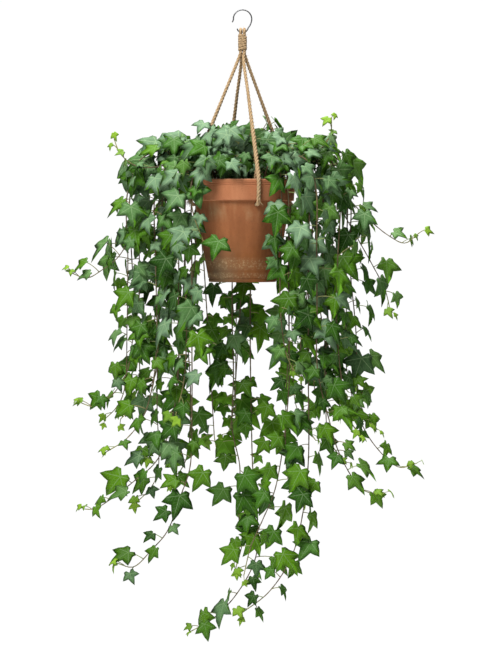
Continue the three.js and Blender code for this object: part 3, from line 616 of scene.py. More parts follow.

# %% [markdown]
# ## How the ivy grows
# An ivy shoot climbs out of the soil, leans over the rim and falls under its own weight. Its
# leaves stand one at each joint, first to one side and then to the other, small and close at
# the growing tip, larger and further apart on the older wood. Some shoots have their places
# listed, and the rest follow a rule with seeded numbers. The same rule made the CAD stems, so
# each finer shoot lies where its plain one does. The turn of each shoot round the pot is read off
# the frame, from the corners of the stem's end in the soil.

# %% The rule's numbers
RUNNERS = [
    (38, 34, [(-118, -20, 22), (-150, -30, 18), (-171, -36, 26), (-186, -40, 42),
              (-193, -40, 60)], 150),
    (30, 30, [(85, -40, 29), (106, -42, 40), (124, -42, 52), (133, -42, 71), (134, -42, 93)], 130),
    (52, 26, [(-104, 0, -8), (-124, -6, -31), (-150, -12, -69), (-170, -16, -90),
              (-190, -20, -119), (-212, -21, -136), (-236, -21, -149), (-260, -20, -141)], 60),
    (50, 30, [(128, -6, 3), (164, -11, -32), (188, -15, -57), (222, -20, -85), (246, -20, -96),
              (266, -20, -82)], 60),
    (44, 42, [(-158, 4, -183), (-168, -5, -248), (-178, -12, -298), (-204, -18, -332),
              (-226, -20, -344), (-244, -20, -339)], 60),
    (40, 34, [(-98, -32, -303), (-110, -36, -377), (-130, -41, -425), (-166, -46, -457),
              (-200, -50, -483), (-224, -50, -497), (-239, -50, -497)], 60),
    (52, 28, [(-76, -62, -343), (-79, -66, -433), (-92, -71, -473), (-113, -77, -528),
              (-136, -80, -555), (-164, -80, -581), (-189, -80, -575)], 60),
    (46, 30, [(12, 84, -243), (14, 68, -383), (16, 50, -447), (23, 32, -521), (20, 18, -579),
              (-8, 0, -631), (-44, -10, -668), (-78, -10, -688)], 60),
    (48, 26, [(99, -60, -303), (99, -61, -423), (91, -60, -501), (74, -52, -569), (40, -46, -623),
              (-2, -45, -656)], 60),
    (45, 36, [(112, -82, -283), (128, -91, -355), (146, -94, -413), (180, -95, -464),
              (208, -95, -470)], 60),
    (42, 40, [(158, -8, -283), (178, -14, -363), (204, -20, -407), (238, -25, -436),
              (264, -25, -430)], 60),
    (36, 46, [(150, 26, -43), (178, 24, -92), (198, 20, -128), (218, 12, -168),
              (226, 10, -200)], 60),
    (52, 24, [(58, -76, -88), (56, -78, -153), (58, -80, -213), (66, -86, -263),
              (80, -92, -291)], 60),
    (50, 26, [(-86, -50, -88), (-86, -54, -153), (-84, -60, -223), (-88, -68, -303),
              (-100, -76, -353)], 60),
    (44, 30, [(70, -66, -303), (62, -60, -393), (48, -50, -471), (30, -44, -515), (12, -40, -557),
              (2, -38, -599)], 60),
    (46, 34, [(-16, 92, -223), (-14, 78, -303), (-16, 62, -383), (-4, 44, -443), (-8, 34, -499),
              (0, 26, -552), (-10, 20, -594)], 60),
    (50, 34, [(-76, -76, -5), (-74, -82, -49), (-57, -86, -97)], 0),
    (16, 46, [(-46, -74, 25)], 0),
    (12, 62, [(-6, -56, 53)], 0),
    (22, 42, [(50, -66, 29)], 0),
    (20, 38, [(-20, -66, 25)], 0),
    (26, 34, [(-4, -76, 17)], 0),
    (30, 54, [(82, -54, 43)], 0),
    (56, 40, [(-130, -30, -250), (-136, -34, -310), (-150, -40, -358), (-176, -44, -392),
              (-204, -48, -410)], 60),
    (8, 80, [(-36, -14, 78)], 0),
    (6, 76, [(30, 10, 74)], 0),
]
CURTAIN = {
    "count": 20, "reach": (98, 128, 156, 114, 168), "spread": 12, "rise": (30, 46, 52, 38, 46),
    "root": (54, 40, 28, 48, 34), "drop": (330, 270, 320, 390, 290), "behind": 30, "turn": 26,
    "tip": ((12, 26), (30, 44)),
}
CROWN = {"count": 6, "reach": (62, 88, 74), "rise": (74, 58, 68), "root": (12, 22, 17)}
TIP_TAPER = 60
WANDER = 9
FALL_STEP = 105
RIM = RIM_Z / MM
BASE = BASE_Z / MM
SOIL = SOIL_Z / MM
POT_R = RIM_RADIUS / MM
UP = np.array([0.0, 0.0, 1.0])
FRONT = np.array([0.0, -1.0, 0.0])


def draws(seed):
    """Numbers from 0 to 1, each worked out from the last: s becomes 1664525 s + 1013904223,
    modulo 2 to the power of 32. The first four are left out."""
    state, given = seed, 0
    while True:
        state = (1664525 * state + 1013904223) % 2**32
        given += 1
        if given > 4:
            yield state / 2**32


def ease(t):
    """3 t^2 - 2 t^3 between 0 and 1."""
    t = np.clip(t, 0, 1)
    return t * t * (3 - 2 * t)


def lerp(a, b, t):
    """a plus t times the way to b."""
    return a + (b - a) * t


def length_of(v):
    """How long a vector is."""
    return float(np.linalg.norm(v))


print(len(RUNNERS) + CURTAIN["count"] + CROWN["count"], "shoots")

# %% [markdown]
# ## Each shoot's way
# A shoot is a list of places, in millimetres, that a smooth curve joins. It could start at a
# fixed turn round the pot, but the CAD rule turns a stem a little further until it has room
# among the others. So the turn is read off the CAD stem's end, and the two agree.

# %% Find each shoot's places
STEM_FOOT = 12
HANGS_BELOW = 70


def root_azimuth(node):
    """The azimuth of the middle of the stem's end: a few corners STEM_FOOT below the soil's top."""
    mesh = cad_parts[node].data
    corners = np.empty(3 * len(mesh.vertices), np.float32)
    mesh.vertices.foreach_get("co", corners)
    corners = corners.reshape(-1, 3).astype(float) / MM
    low = np.abs(corners[:, 2] - (SOIL - STEM_FOOT)) < 1
    inside = np.hypot(corners[:, 0], corners[:, 1]) < 62
    end = np.unique(corners[low & inside].round(2), axis=0).mean(axis=0)
    return math.degrees(math.atan2(end[0], -end[1]))


def stem_places(azimuth, root_radius, rise, places):
    """Up out of the soil, over the rim, down beside the pot if it hangs, then its own places."""
    first = places[0]
    low = first[2] < RIM - HANGS_BELOW
    out = length_of(first[:2])
    shoulder = max(out, POT_R + 13) if low else out
    points = [
        polar(azimuth, root_radius, SOIL - STEM_FOOT),
        polar(azimuth, root_radius, SOIL + 8),
        polar(azimuth, lerp(root_radius, shoulder, 0.2), RIM + rise * 0.66),
        polar(azimuth, lerp(root_radius, shoulder, 0.52), RIM + rise),
    ]
    if low:
        points.append(polar(azimuth, lerp(root_radius, shoulder, 0.85), RIM + rise * 0.7))
        last = polar(azimuth, shoulder, RIM - 18)
        points.append(last)
        steps = math.floor(length_of(first - last) / FALL_STEP + 0.5)
        points += [lerp(last, first, k / steps) for k in range(1, steps)]
    return np.array(points + list(places))


def curtain_places(azimuth, reach, drop, draw):
    """A fall in steps that drifts a little in and out, then a tip that leans outwards."""
    steps = math.floor(drop / FALL_STEP + 0.5)
    turn = CURTAIN["turn"] * (next(draw) - 0.5)
    places = []
    for k in range(1, steps + 1):
        radius = reach + WANDER * (2 * next(draw) - 1) + CURTAIN["spread"] * k / steps
        places.append(polar(azimuth + turn * k / steps, radius, RIM - 20 - drop * k / steps))
    out = polar(azimuth + turn * 2.5 + 40 * (next(draw) - 0.5), 1.0, 0.0)
    tip = places[-1]
    return places + [tip + out * aside - UP * down for aside, down in CURTAIN["tip"]]


def all_shoots():
    """(name, places in mm, taper of its tip, seed) of every shoot, in the rule's order."""
    shoots = []
    for i, (root_radius, rise, places, taper) in enumerate(RUNNERS):
        name = f"runner_{i + 1}"
        places = np.array(places, float) + UP * RIM
        shoots.append((name, stem_places(root_azimuth(name), root_radius, rise, places), taper))
    for i in range(CURTAIN["count"]):
        name = f"trail_{i + 1}"
        azimuth, draw = root_azimuth(name) % 360, draws(50 + 13 * i)
        reach = CURTAIN["reach"][i % 5] + 10 * (next(draw) - 0.5)
        behind = CURTAIN["behind"] * ease(-1.25 * math.cos(math.radians(azimuth)) - 0.25)
        drop = CURTAIN["drop"][i % 5] * (0.9 + 0.2 * next(draw)) + behind
        places = curtain_places(azimuth, reach, drop, draw)
        places = stem_places(azimuth, CURTAIN["root"][i % 5], CURTAIN["rise"][i % 5], places)
        shoots.append((name, places, TIP_TAPER))
    for i in range(CROWN["count"]):
        name = f"crown_{i + 1}"
        azimuth, rise = root_azimuth(name), CROWN["rise"][i % 3]
        tip = polar(azimuth, CROWN["reach"][i % 3], RIM + 0.55 * rise)
        shoots.append((name, stem_places(azimuth, CROWN["root"][i % 3], rise, [tip]), 0))
    return [(*shoot, 1000 + 77 * i) for i, shoot in enumerate(shoots)]


shoots = all_shoots()
print("longest shoot:", max(round(length_of(p[-1] - p[0])) for _, p, _, _ in shoots), "mm from end to end")

# %% [markdown]
# ## Where the leaves stand
# Every leaf has a foot on the stem, a stalk, and a blade with a size and two directions: where
# its face looks and where its tip points. Ivy turns its faces to the light, outwards and up,
# and lets its tips hang down, so the rule adds those directions up with a little chance.

# %% Place the leaves
LEAF_UNIT = 25
FIRST_NODE = 14
LONGEST_NODE = 22
SOIL_CLEAR = 10
CROWDED = 16
TIP_LEAF = 0.82
STALK_BEHIND = 0.35


def leaf_at(t, foot, heading, age, number, draw):
    """One leaf as a dict of vectors, from nine numbers between -1 and 1."""
    d = [2 * next(draw) - 1 for _ in range(9)]
    radial = unit(foot * [1, 1, 0])
    facing = -radial[1]
    under = foot[2] < BASE and facing < 0 and d[8] > 0
    pull = 3 if under else 1.4 * ease((facing + 0.75) / 0.6)
    out = unit(radial + FRONT * pull)
    side = np.cross(out, UP) * (1 if number % 2 else -1)
    flat = 1 - abs(heading[2])
    low = ease((RIM - 120 - foot[2]) / 420)
    size = LEAF_UNIT * lerp(0.48, lerp(1, 0.94, low), age) * (1 + 0.3 * d[0])
    stalk = unit(
        out * (0.55 + 0.45 * d[1]) + side * (0.75 + 0.45 * d[2])
        + UP * (0.15 + 0.75 * flat + 0.35 * d[3]) + heading * lerp(1.2, 0.1, age)
    )
    joint = foot + stalk * size * (0.85 + 0.3 * d[4])
    normal = unit(
        out * lerp(1, 0.7, flat) + UP * (lerp(0.35, 0.85, flat) + 0.5 * d[5]) + side * (0.2 + 0.8 * d[6])
    )
    normal = unit(normal + stalk * max(0, STALK_BEHIND - normal @ stalk))
    down = (
        out * lerp(0.1, 0.5, flat) - UP * lerp(1, 0.3, flat)
        + side * (0.25 + 1.2 * d[7]) + heading * lerp(0.3, 0.6, flat)
    )
    midrib = unit(down - normal * (down @ normal))
    return {"t": t, "joint": joint, "normal": normal, "midrib": midrib, "size": size, "age": age}


def leaves_of(places, taper, seed):
    """The leaves from the tip back to the soil. A leaf's age goes from 0 to 1 over the taper,
    and the gaps go from FIRST_NODE to LONGEST_NODE with it. A short shoot ends in a large leaf.
    Over the pot each joint has a second leaf, from draws of its own."""
    draw, second = draws(seed), draws(seed + 9)
    points = places[::-1]
    walked, wanted, number, leaves = 0.0, 0.0, 0, []
    for i in range(1, len(points) - 2):
        step = length_of(points[i] - points[i - 1])
        while wanted < walked + step:
            along = (wanted - walked) / step
            foot = lerp(points[i - 1], points[i], along)
            heading = (points[i - 1] - points[i]) / step
            age = ease(wanted / taper) if taper > 0 else 1.0
            leaf = leaf_at(len(points) - i - along, foot, heading, age, number, draw)
            leaf["size"] *= TIP_LEAF if taper == 0 and number == 0 else 1
            leaves.append(leaf)
            number += 1
            wanted += lerp(FIRST_NODE, LONGEST_NODE, age) * (0.85 + 0.3 * next(draw))
            out = np.hypot(foot[0], foot[1])
            leaf["kept"] = out > POT_R + 5 or foot[2] > SOIL + SOIL_CLEAR or foot[2] < BASE
            if out < POT_R + CROWDED and foot[2] > SOIL + SOIL_CLEAR:
                leaves.append(leaf_at(leaf["t"], foot, heading, 0.8, number, second))
                leaves[-1]["kept"] = True
        walked += step
    return [leaf for leaf in leaves if leaf["kept"]]


leaves = {name: leaves_of(places, taper, seed) for name, places, taper, seed in shoots}
print(sum(len(found) for found in leaves.values()), "leaves have a place")

# %% [markdown]
# ## The leaf
# An ivy leaf has five lobes, each with a rib that starts at the stalk. The blade dips along the
# ribs, rises between them, and its tips bend back. One blade is a fan of two rings round the
# stalk, with corners where the outline needs them: at the tips, in the bays and on the lobes'
# shoulders. It has an upper and a lower skin that meet at the edge, so it is a closed body of
# a leaf's thickness. A few dozen faces are enough, because the same blade is used over a
# thousand times and the veins come from the material.

# %% Shape a blade
LOBE_ANGLES = [0, 12, 31, 45, 60, 73, 91, 105, 120, 147]
GROWN_REACH = [1.0, 0.75, 0.52, 0.64, 0.86, 0.62, 0.43, 0.45, 0.50, 0.39]
YOUNG_REACH = [1.0, 0.73, 0.51, 0.65, 0.84, 0.61, 0.42, 0.40, 0.38, 0.29]
RIB_SHARE = [1, 0.4, 0, 0.5, 1, 0.4, 0, 0.5, 1, 0.3]
NOTCH_REACH = 0.1
BLADE = 0.45
GROWN_SIZE = 21
YOUNG_SIZE = 12
FULLER = (0.92, 1.27)
LOBE_LOSS = 0.11
TIP_STRETCH = 1.12


def whole(half, last):
    """Half an outline's numbers, the one at the notch, and the half again, backwards."""
    return np.array(half + [last] + half[:0:-1])


ANGLES = np.radians(np.concatenate([LOBE_ANGLES, [180], 360 - np.array(LOBE_ANGLES[:0:-1])]))
RIBS = whole(RIB_SHARE, 0)
SHARES = np.array([0.5, 1.0, 0.5])


def blade_faces():
    """Faces over one blade's corners: 0 the upper middle, then the upper ring, the edge and the
    lower ring, and last the lower middle. Each array is half upper side, half underside."""
    n = len(ANGLES)
    ring = 1 + np.arange(n)
    after = 1 + (np.arange(n) + 1) % n
    fan = np.stack([0 * ring, ring, after], axis=1)
    upper = np.stack([ring, ring + n, after + n, after], axis=1)
    lower = np.stack([ring + n, ring + 2 * n, after + 2 * n, after + n], axis=1)
    under_fan = np.stack([0 * ring + 3 * n + 1, after + 2 * n, ring + 2 * n], axis=1)
    return [np.concatenate([upper, lower]), np.concatenate([fan, under_fan])]


def blade_corners(joint, normal, midrib, size, chance):
    """The corners of many blades at once. A corner at angle a and share q of the outline's reach
    has r = q reach(a), x = r cos a, y = r sin a and, in a leaf's own units,
    z = -0.13 bend r^2 (0.4 + 0.6 rib) + 0.045 r (1 - rib) + fold |y| + twist x y, plus or minus
    half the thickness. Chance sets bend, fold and twist, stretches x towards the tip by about
    TIP_STRETCH, slants it, and widens y. The reach goes from a young leaf's to a grown one's with
    its size, and loses up to twice LOBE_LOSS (1 - cos a) of itself: ivy leaves differ most in how
    far the lobes beside the stalk come."""
    grown = ease((size - YOUNG_SIZE) / (GROWN_SIZE - YOUNG_SIZE))[:, None]
    reach = lerp(whole(YOUNG_REACH, NOTCH_REACH), whole(GROWN_REACH, NOTCH_REACH), grown)
    longer, wider, skew, bend, fold, twist, lobed = (chance[:, k, None, None] for k in range(7))
    r = SHARES[None, :, None] * reach[:, None, :] * (1 - LOBE_LOSS * (1 + lobed) * (1 - np.cos(ANGLES)))
    x, y = r * np.cos(ANGLES), r * np.sin(ANGLES)
    x = np.where(x > 0, x * (TIP_STRETCH + 0.16 * longer), x) + 0.1 * skew * y
    y = y * (1 + 0.1 * wider)
    z = -0.13 * (1 + 0.8 * bend) * r**2 * (0.4 + 0.6 * RIBS) + 0.045 * r * (1 - RIBS)
    z = z + (0.12 + 0.2 * fold) * np.abs(y) + 0.32 * twist * x * y
    thick = 0.5 * BLADE * np.array([1, 0, -1])[None, :, None] / size[:, None, None]
    flat = np.stack([x, y, z + thick], axis=-1).reshape(len(size), -1, 3)
    middle = np.zeros((len(size), 1, 3))
    middle[:, 0, 2] = 0.5 * BLADE / size
    flat = np.concatenate([middle, flat, -middle], axis=1)
    across = np.cross(midrib, normal)
    axes = np.stack([midrib, across, normal], axis=1) * size[:, None, None]
    return joint[:, None] + np.einsum("nki,nij->nkj", flat, axes), flat[..., :2]


print("one blade:", sum(len(part) for part in blade_faces()), "faces")

# %% [markdown]
# ## Room for each blade
# A real leaf bends round what it meets. Here a blade that would cut into the pot, the soil or a
# cord is left out instead, and so is one that would hang before the front cord, because that
# cord lies on top of the leaves.

# %% Leave out what has no room
CORD_KEEP = 5.0
FRONT_KEEP = 4.5
FRONT_SPAN = (RIM - 36, RIM + 120)


def cord_line(name):
    """Every fourth ring's middle on a cord, in millimetres."""
    return cord_lines[name][::4] / MM


def has_room(blades):
    """True for each blade with none of its points in the clay, in the soil, near a cord or right
    before the front cord's part in FRONT_SPAN. The points are the corners and those half way
    between."""
    middles = 0.5 * (blades[:, 1:] + blades[:, :-1])
    inner = 0.5 * (blades[:, :1] + blades[:, 1 + len(ANGLES):1 + 2 * len(ANGLES)])
    points = np.concatenate([blades, middles, inner], axis=1)
    x, y, z = np.moveaxis(points, -1, 0)
    out = np.hypot(x, y)
    foot = RIM - RIM_HEIGHT / MM
    widths = np.array([BASE_RADIUS, NECK_RADIUS, RIM_RADIUS, RIM_RADIUS]) / MM
    outside = np.interp(z, [BASE, foot, foot + 0.1, RIM], widths) + 1
    hollow = (out < inner_radius(z * MM) / MM - 1) & (z > SOIL + 1.5)
    free = ~((z > BASE - 1) & (z < RIM + 1) & (out < outside) & ~hollow)
    for name in cord_lines:
        line = cord_line(name)
        gaps = np.linalg.norm(points[:, :, None] - line, axis=-1)
        free &= gaps.min(axis=-1) > CORD_KEEP
    line = cord_line("cord_front_right")
    line = line[(line[:, 1] < 0) & (line[:, 2] > FRONT_SPAN[0])]
    line = line[np.argsort(line[:, 2])]
    before = (np.abs(x - np.interp(z, line[:, 2], line[:, 0])) < FRONT_KEEP) & (z > line[0, 2])
    free &= ~(before & (z < FRONT_SPAN[1]) & (y < np.interp(z, line[:, 2], line[:, 1])))
    return free.all(axis=1)


print("blades keep", CORD_KEEP, "mm from the cords' middles")

# %% [markdown]
# ## Stalks and stems
# A stalk leaves the stem, bows a little and meets the blade from behind. A stem is thickest in
# the soil and thin at its tip. Both are thin tubes with few sides, and a whole shoot, with its
# stem, stalks and blades, becomes one piece that stands for its CAD node.

# %% Build the shoots
STEM_THICK = 1.3
STEM_THIN = 0.8
STALK = 0.62
STALK_RINGS = 5
STALK_SIDES = 4
# The lowest part starts DEEP_BELOW under the rim. THINNED is the share of grown leaves that
# chance leaves out, above that and in it.
DEEP_BELOW = 370
THINNED = (0.19, 0.1)
# One of sixty starts that were tried for the leaves' draws, taken for the leaf over the pot: it is
# kept, broad and without painted sky sheen. The start changes every other leaf too.
LUCK_SHIFT = 19
LOW_SWELL = 0.1
SKYWARD = unit(np.array([-0.35, -0.65, 0.75]))
STEM_GAP = 5
STEM_SIDES = 6
# How many leaves each leafy mesh keeps.
kept_leaves = []


def stalk_corners(foot, joint, midrib):
    """Stalks along a bent curve from foot to joint, whose middle is raised by an eighth of the
    length. A ring's radius is STALK, a quarter more at the foot."""
    t = np.linspace(0, 1, STALK_RINGS)[None, :, None]
    way = joint - foot
    middle = foot + 0.5 * way + UP * 0.13 * np.linalg.norm(way, axis=1, keepdims=True)
    line = bent(foot, middle, joint, t)
    radius = STALK * (1.25 - 0.25 * np.minimum(3 * t, 1))[..., None]
    return many_tubes(line, np.cross(midrib, way)[:, None], radius, STALK_SIDES)


def painted_sheen_and_backlight(joint, normal, luck, other):
    """How much painted sheen and painted backlight each leaf gets, from 0 to 1. The sheen is a
    reflection of the sky painted into the colour, on leaves that face the sky, most of all high on
    the plant. The backlight is painted light coming through a leaf: on those behind the pot, far
    out at the sides or low down, and never right before it. Both add a random part."""
    high = ease((joint[:, 2] - (RIM - 480)) / 480)
    # Painted sheen: more where the leaf faces the sky and hangs high.
    wax = ease(0.6 * (normal @ SKYWARD) + 0.6 * high + 1.3 * (luck - 0.5) - 0.62)
    # Painted backlight: more behind the pot, far out at the sides and low down.
    behind = ease((joint[:, 1] + 20) / 110)
    outer = ease((np.abs(joint[:, 0]) - 110) / 110)
    sun = ease(0.35 * behind + 0.6 * outer + 0.3 * (1 - high) + 1.4 * (other - 0.5))
    wax = wax * (1 - 0.6 * outer)
    # No painted backlight on leaves right before the pot, which stands behind them.
    before_pot = (joint[:, 1] < 0) & (joint[:, 2] > RIM - 140)
    clear = np.where(before_pot, ease((np.abs(joint[:, 0]) - 40) / 50), 1.0)
    return wax, sun * (1 - 0.6 * wax) * clear


def leafy_mesh(name, stem, stem_faces, stem_age, foot, joint, normal, midrib, size, age, rng):
    """One mesh of a stem, stalks and blades. A grown blade's size is multiplied by a number drawn
    between the two of FULLER, and by 1 + LOW_SWELL in the lowest part. Each corner has the age of
    its leaf or stretch of stem and numbers drawn for its leaf, and each face says whether it is
    wood and whether it is a blade's underside."""
    deep = ease((RIM - DEEP_BELOW - joint[:, 2]) / 60)
    size = size * lerp(*FULLER, rng.uniform(0, 1, len(size)) * ease(age)) * (1 + LOW_SWELL * deep)
    blades, flat = blade_corners(joint, normal, midrib, size, rng.uniform(-1, 1, (len(size), 7)))
    thinned = lerp(*THINNED, deep)
    free = has_room(blades) & ((rng.uniform(0, 1, len(size)) > thinned) | (age < 0.9))
    shade, luck, other = rng.uniform(0, 1, (3, len(size)))[:, free]
    foot, joint, normal, midrib, age, blades, flat = (
        part[free] for part in (foot, joint, normal, midrib, age, blades, flat)
    )
    wax, sun = painted_sheen_and_backlight(joint, normal, luck, other)
    stalks = stalk_corners(foot, joint, midrib)
    count, n_blade, n_stalk = len(joint), blades.shape[1], stalks.shape[1]
    corners = np.vstack([stem, stalks.reshape(-1, 3), blades.reshape(-1, 3)]) * MM
    stalk_faces = repeated(tube_faces(STALK_RINGS, STALK_SIDES), n_stalk, count)
    stalk_faces = [part + len(stem) for part in stalk_faces]
    faces = [part + len(stem) + count * n_stalk for part in repeated(blade_faces(), n_blade, count)]
    shares = [sum(map(len, parts)) for parts in (stem_faces, stalk_faces, faces)]
    wood = np.repeat([1.0, 0.5, 0.0], shares)
    one_blade = np.repeat([0, 1], len(ANGLES))
    under = np.concatenate([np.zeros(shares[0] + shares[1]), np.tile(one_blade, 2 * count)])
    kept_leaves.append(count)

    def spread(for_stem, for_leaf):
        """A value for each corner: the stem's own, then each leaf's, on its stalk and its blade."""
        return np.concatenate([for_stem, np.repeat(for_leaf, n_stalk), np.repeat(for_leaf, n_blade)])

    none = np.zeros(len(stem))
    uv = np.vstack([np.zeros((len(stem) + count * n_stalk, 2)), flat.reshape(-1, 2)])
    mesh = as_mesh(name, corners, stem_faces + stalk_faces + faces, uv=uv, age=spread(stem_age, age),
                   shade=spread(none + 0.5, shade), wax=spread(none, wax), sun=spread(none, sun),
                   wood=wood, under=under)
    mesh.polygons.foreach_set("material_index", (wood > 0).astype(np.int32))
    return mesh


def make_shoot(name, places, found, seed):
    """A shoot: the stem thins with the way along it to the power 0.7, and swells a little by a
    sine, about three times for every two leaves."""
    line, _ = even_line(places, STEM_GAP)
    share = np.linspace(0, 1, len(line))
    thick = STEM_THICK + (STEM_THIN - STEM_THICK) * share ** 0.7
    thick = thick * (1 + 0.12 * np.sin(9 * share * len(found)))
    end = places[-1] - places[0]
    stem, stem_faces = tube(line, np.cross(UP, unit(end * [1, 1, 0])), thick, STEM_SIDES)
    to_tip = (1 - share) * STEM_GAP * len(line)
    stem_age = np.append(np.repeat(ease(to_tip / TIP_TAPER), STEM_SIDES), [1, 0])
    keys = ("joint", "normal", "midrib", "size", "age", "t")
    *looks, t = (np.array([leaf[key] for leaf in found]) for key in keys)
    rng = np.random.default_rng(seed + LUCK_SHIFT)
    mesh = leafy_mesh(name + "_ivy", stem, stem_faces, stem_age, curve_at(places, t), *looks, rng)
    as_piece(mesh, "leaf", name)


for name, places, _, seed in shoots:
    make_shoot(name, places, leaves[name], seed)
leafy_faces = sum(len(mesh.polygons) for mesh in worn["leaf"])
print(sum(kept_leaves), "leaves kept:", leafy_faces, "faces with their stems and stalks")

# %% [markdown]
# ## Leaves close over the soil
# The soil of a full pot is hidden by small leaves on short stalks of their own, in the shade of
# the long shoots. They are scattered evenly over the soil's disc, higher in the middle, and
# lean outwards. None of them is in the plain model, because they are too small to matter there.

# %% Scatter the low leaves
LOW_LEAVES = 170
LOW_SIZE = (13, 20)


def low_leaves():
    """A leaf at radius 66 times the root of a random number, at a height of 2 to 50 mm over the
    rim that falls towards the wall, its face outwards and up and its tip outwards and down."""
    rng = np.random.default_rng(5)
    radius = 66 * np.sqrt(rng.uniform(0, 1, LOW_LEAVES))
    azimuth = rng.uniform(0, 360, LOW_LEAVES)
    height = RIM + 2 + rng.uniform(0, 1, LOW_LEAVES) * (48 - 0.4 * radius)
    joint = polar(azimuth, radius, height)
    foot = polar(azimuth + rng.uniform(-20, 20, LOW_LEAVES), radius * 0.8, SOIL - 1.0)
    out = polar(azimuth, 1.0, 0.0)
    normal = unit(out * 0.8 + UP * 0.7 + rng.uniform(-0.5, 0.5, joint.shape))
    down = out * 0.5 - UP + rng.uniform(-0.7, 0.7, joint.shape)
    midrib = unit(down - normal * np.sum(down * normal, axis=1, keepdims=True))
    size, age = rng.uniform(*LOW_SIZE, LOW_LEAVES), np.ones(LOW_LEAVES)
    no_stem = np.zeros((0, 3)), [np.zeros((0, 4), int), np.zeros((0, 3), int)], np.zeros(0)
    return leafy_mesh("low_leaves", *no_stem, foot, joint, normal, midrib, size, age, rng)


as_piece(low_leaves(), "leaf")
print("low leaves:", kept_leaves[-1], "kept of", LOW_LEAVES)

# %% [markdown]
# ## Shader maths in Python
# A material is a graph of nodes. Written as a list of nodes it is hard to read, and written as
# sums it is not, so a small class wraps a socket and turns + - * / into Math nodes. Every
# other node comes from one method that takes its kind, its settings and its inputs.

# %% Wrap a socket
class Wire:
    """A socket in a material's node tree that can be added, multiplied and so on."""

    def __init__(self, tree, socket=None):
        self.tree = tree
        self.socket = socket

    def node(self, kind, settings=None, inputs=None, output=0):
        """Adds a node: first its settings, then the values or links of its inputs."""
        made = self.tree.nodes.new("ShaderNode" + kind)
        for key, value in (settings or {}).items():
            setattr(made, key, value)
        for key, value in (inputs or {}).items():
            if isinstance(value, Wire):
                self.tree.links.new(value.socket, made.inputs[key])
            else:
                made.inputs[key].default_value = value
        return Wire(self.tree, made.outputs[output])

    def maths(self, operation, *values, clamp=False):
        """A Math node over the values, which are wires or numbers."""
        settings = {"operation": operation, "use_clamp": clamp}
        return self.node("Math", settings, dict(enumerate(values)))

    def __add__(self, other):
        return self.maths("ADD", self, other)

    def __sub__(self, other):
        return self.maths("SUBTRACT", self, other)

    def __rsub__(self, other):
        return self.maths("SUBTRACT", other, self)

    def __mul__(self, other):
        return self.maths("MULTIPLY", self, other)

    def __truediv__(self, other):
        return self.maths("DIVIDE", self, other)

    def __rtruediv__(self, other):
        return self.maths("DIVIDE", other, self)

    __radd__ = __add__
    __rmul__ = __mul__

    def size(self):
        """The value without its sign."""
        return self.maths("ABSOLUTE", self)

    def step(self, low, high):
        """0 below low and 1 above high, with an even slope between; low may be the larger."""
        return self.maths("MULTIPLY", self - low, 1 / (high - low), clamp=True)

    def mixed(self, a, b):
        """Colour a where this is 0 and colour b where it is 1."""
        a, b = ((*c, 1) if isinstance(c, tuple) else c for c in (a, b))
        return self.node("Mix", {"data_type": "RGBA"}, {0: self, 6: a, 7: b}, 2)

    def noise(self, vector, scale, detail=3.0, rough=0.55):
        """Cloudy noise from 0 to 1, with its middle near 0.5."""
        inputs = {"Vector": vector, "Scale": scale, "Detail": detail, "Roughness": rough}
        return self.node("TexNoise", None, inputs)

    def stretched(self, vector, *scale):
        """The vector times a scale for each of its three numbers. A small scale draws a pattern out."""
        return self.node("Mapping", None, {"Vector": vector, "Scale": scale})

    def place(self):
        """Where a point lies on its object, and so in the frame."""
        return self.node("TexCoord", None, None, "Object")

    def attribute(self, name):
        """The number that the mesh holds under this name."""
        return self.node("Attribute", {"attribute_name": name}, None, "Fac")

    def parts(self, vector):
        """The three numbers of a vector."""
        first = self.node("SeparateXYZ", None, {0: vector})
        return [Wire(self.tree, socket) for socket in first.socket.node.outputs]


def new_material(name, **constants):
    """A material with a Principled shader whose constants are set on its own sockets."""
    material = bpy.data.materials.new(name)
    material.use_nodes = True
    shader = material.node_tree.nodes["Principled BSDF"]
    for key, value in constants.items():
        shader.inputs[key.replace("_", " ")].default_value = value
    return material, Wire(material.node_tree), shader


def feed(wire, shader, **links):
    """Links wires to the shader's sockets, by their names with _ for a space."""
    for key, value in links.items():
        wire.tree.links.new(value.socket, shader.inputs[key.replace("_", " ")])


def bump(wire, height, strength, distance):
    """The normal of a surface with this height, in units of distance."""
    inputs = {"Height": height, "Strength": strength, "Distance": distance}
    return wire.node("Bump", None, inputs)


print("ready to mix finishes")

# %% [markdown]
# ## The ivy's finish
# The upper side of a grown leaf is a dark green. Where it faces the sky it is painted pale and
# bluish: a painted sheen that stands in for the sky's reflection. A leaf is painted yellower where
# light would come through it: painted backlight. Pale ribs run from the stalk to each lobe, and
# finer veins branch off them. The underside is a strong green, painted paler where light would
# come through it, and a young leaf is lime. Ribs and veins could be modelled, but a thousand
# leaves need light meshes. So they are worked out from the blade's own map, where the stalk is
# at 0.

# %% Paint the leaves
RIB_ANGLES = [0, 60, 120]
LEAF_DARK = (0.012, 0.052, 0.002)
LEAF_MID = (0.048, 0.15, 0.01)
# Painted sheen: a pale bluish green that stands in for the sky's reflection.
LEAF_SKY_SHEEN = (0.14, 0.24, 0.13)
# Painted backlight: a yellow green that stands in for light coming through a leaf.
LEAF_SUN = (0.075, 0.19, 0.004)
LEAF_RIB = (0.33, 0.47, 0.24)
UNDER_DARK = (0.03, 0.10, 0.004)
UNDER_PALE = (0.09, 0.235, 0.006)
LEAF_YOUNG = (0.22, 0.39, 0.03)


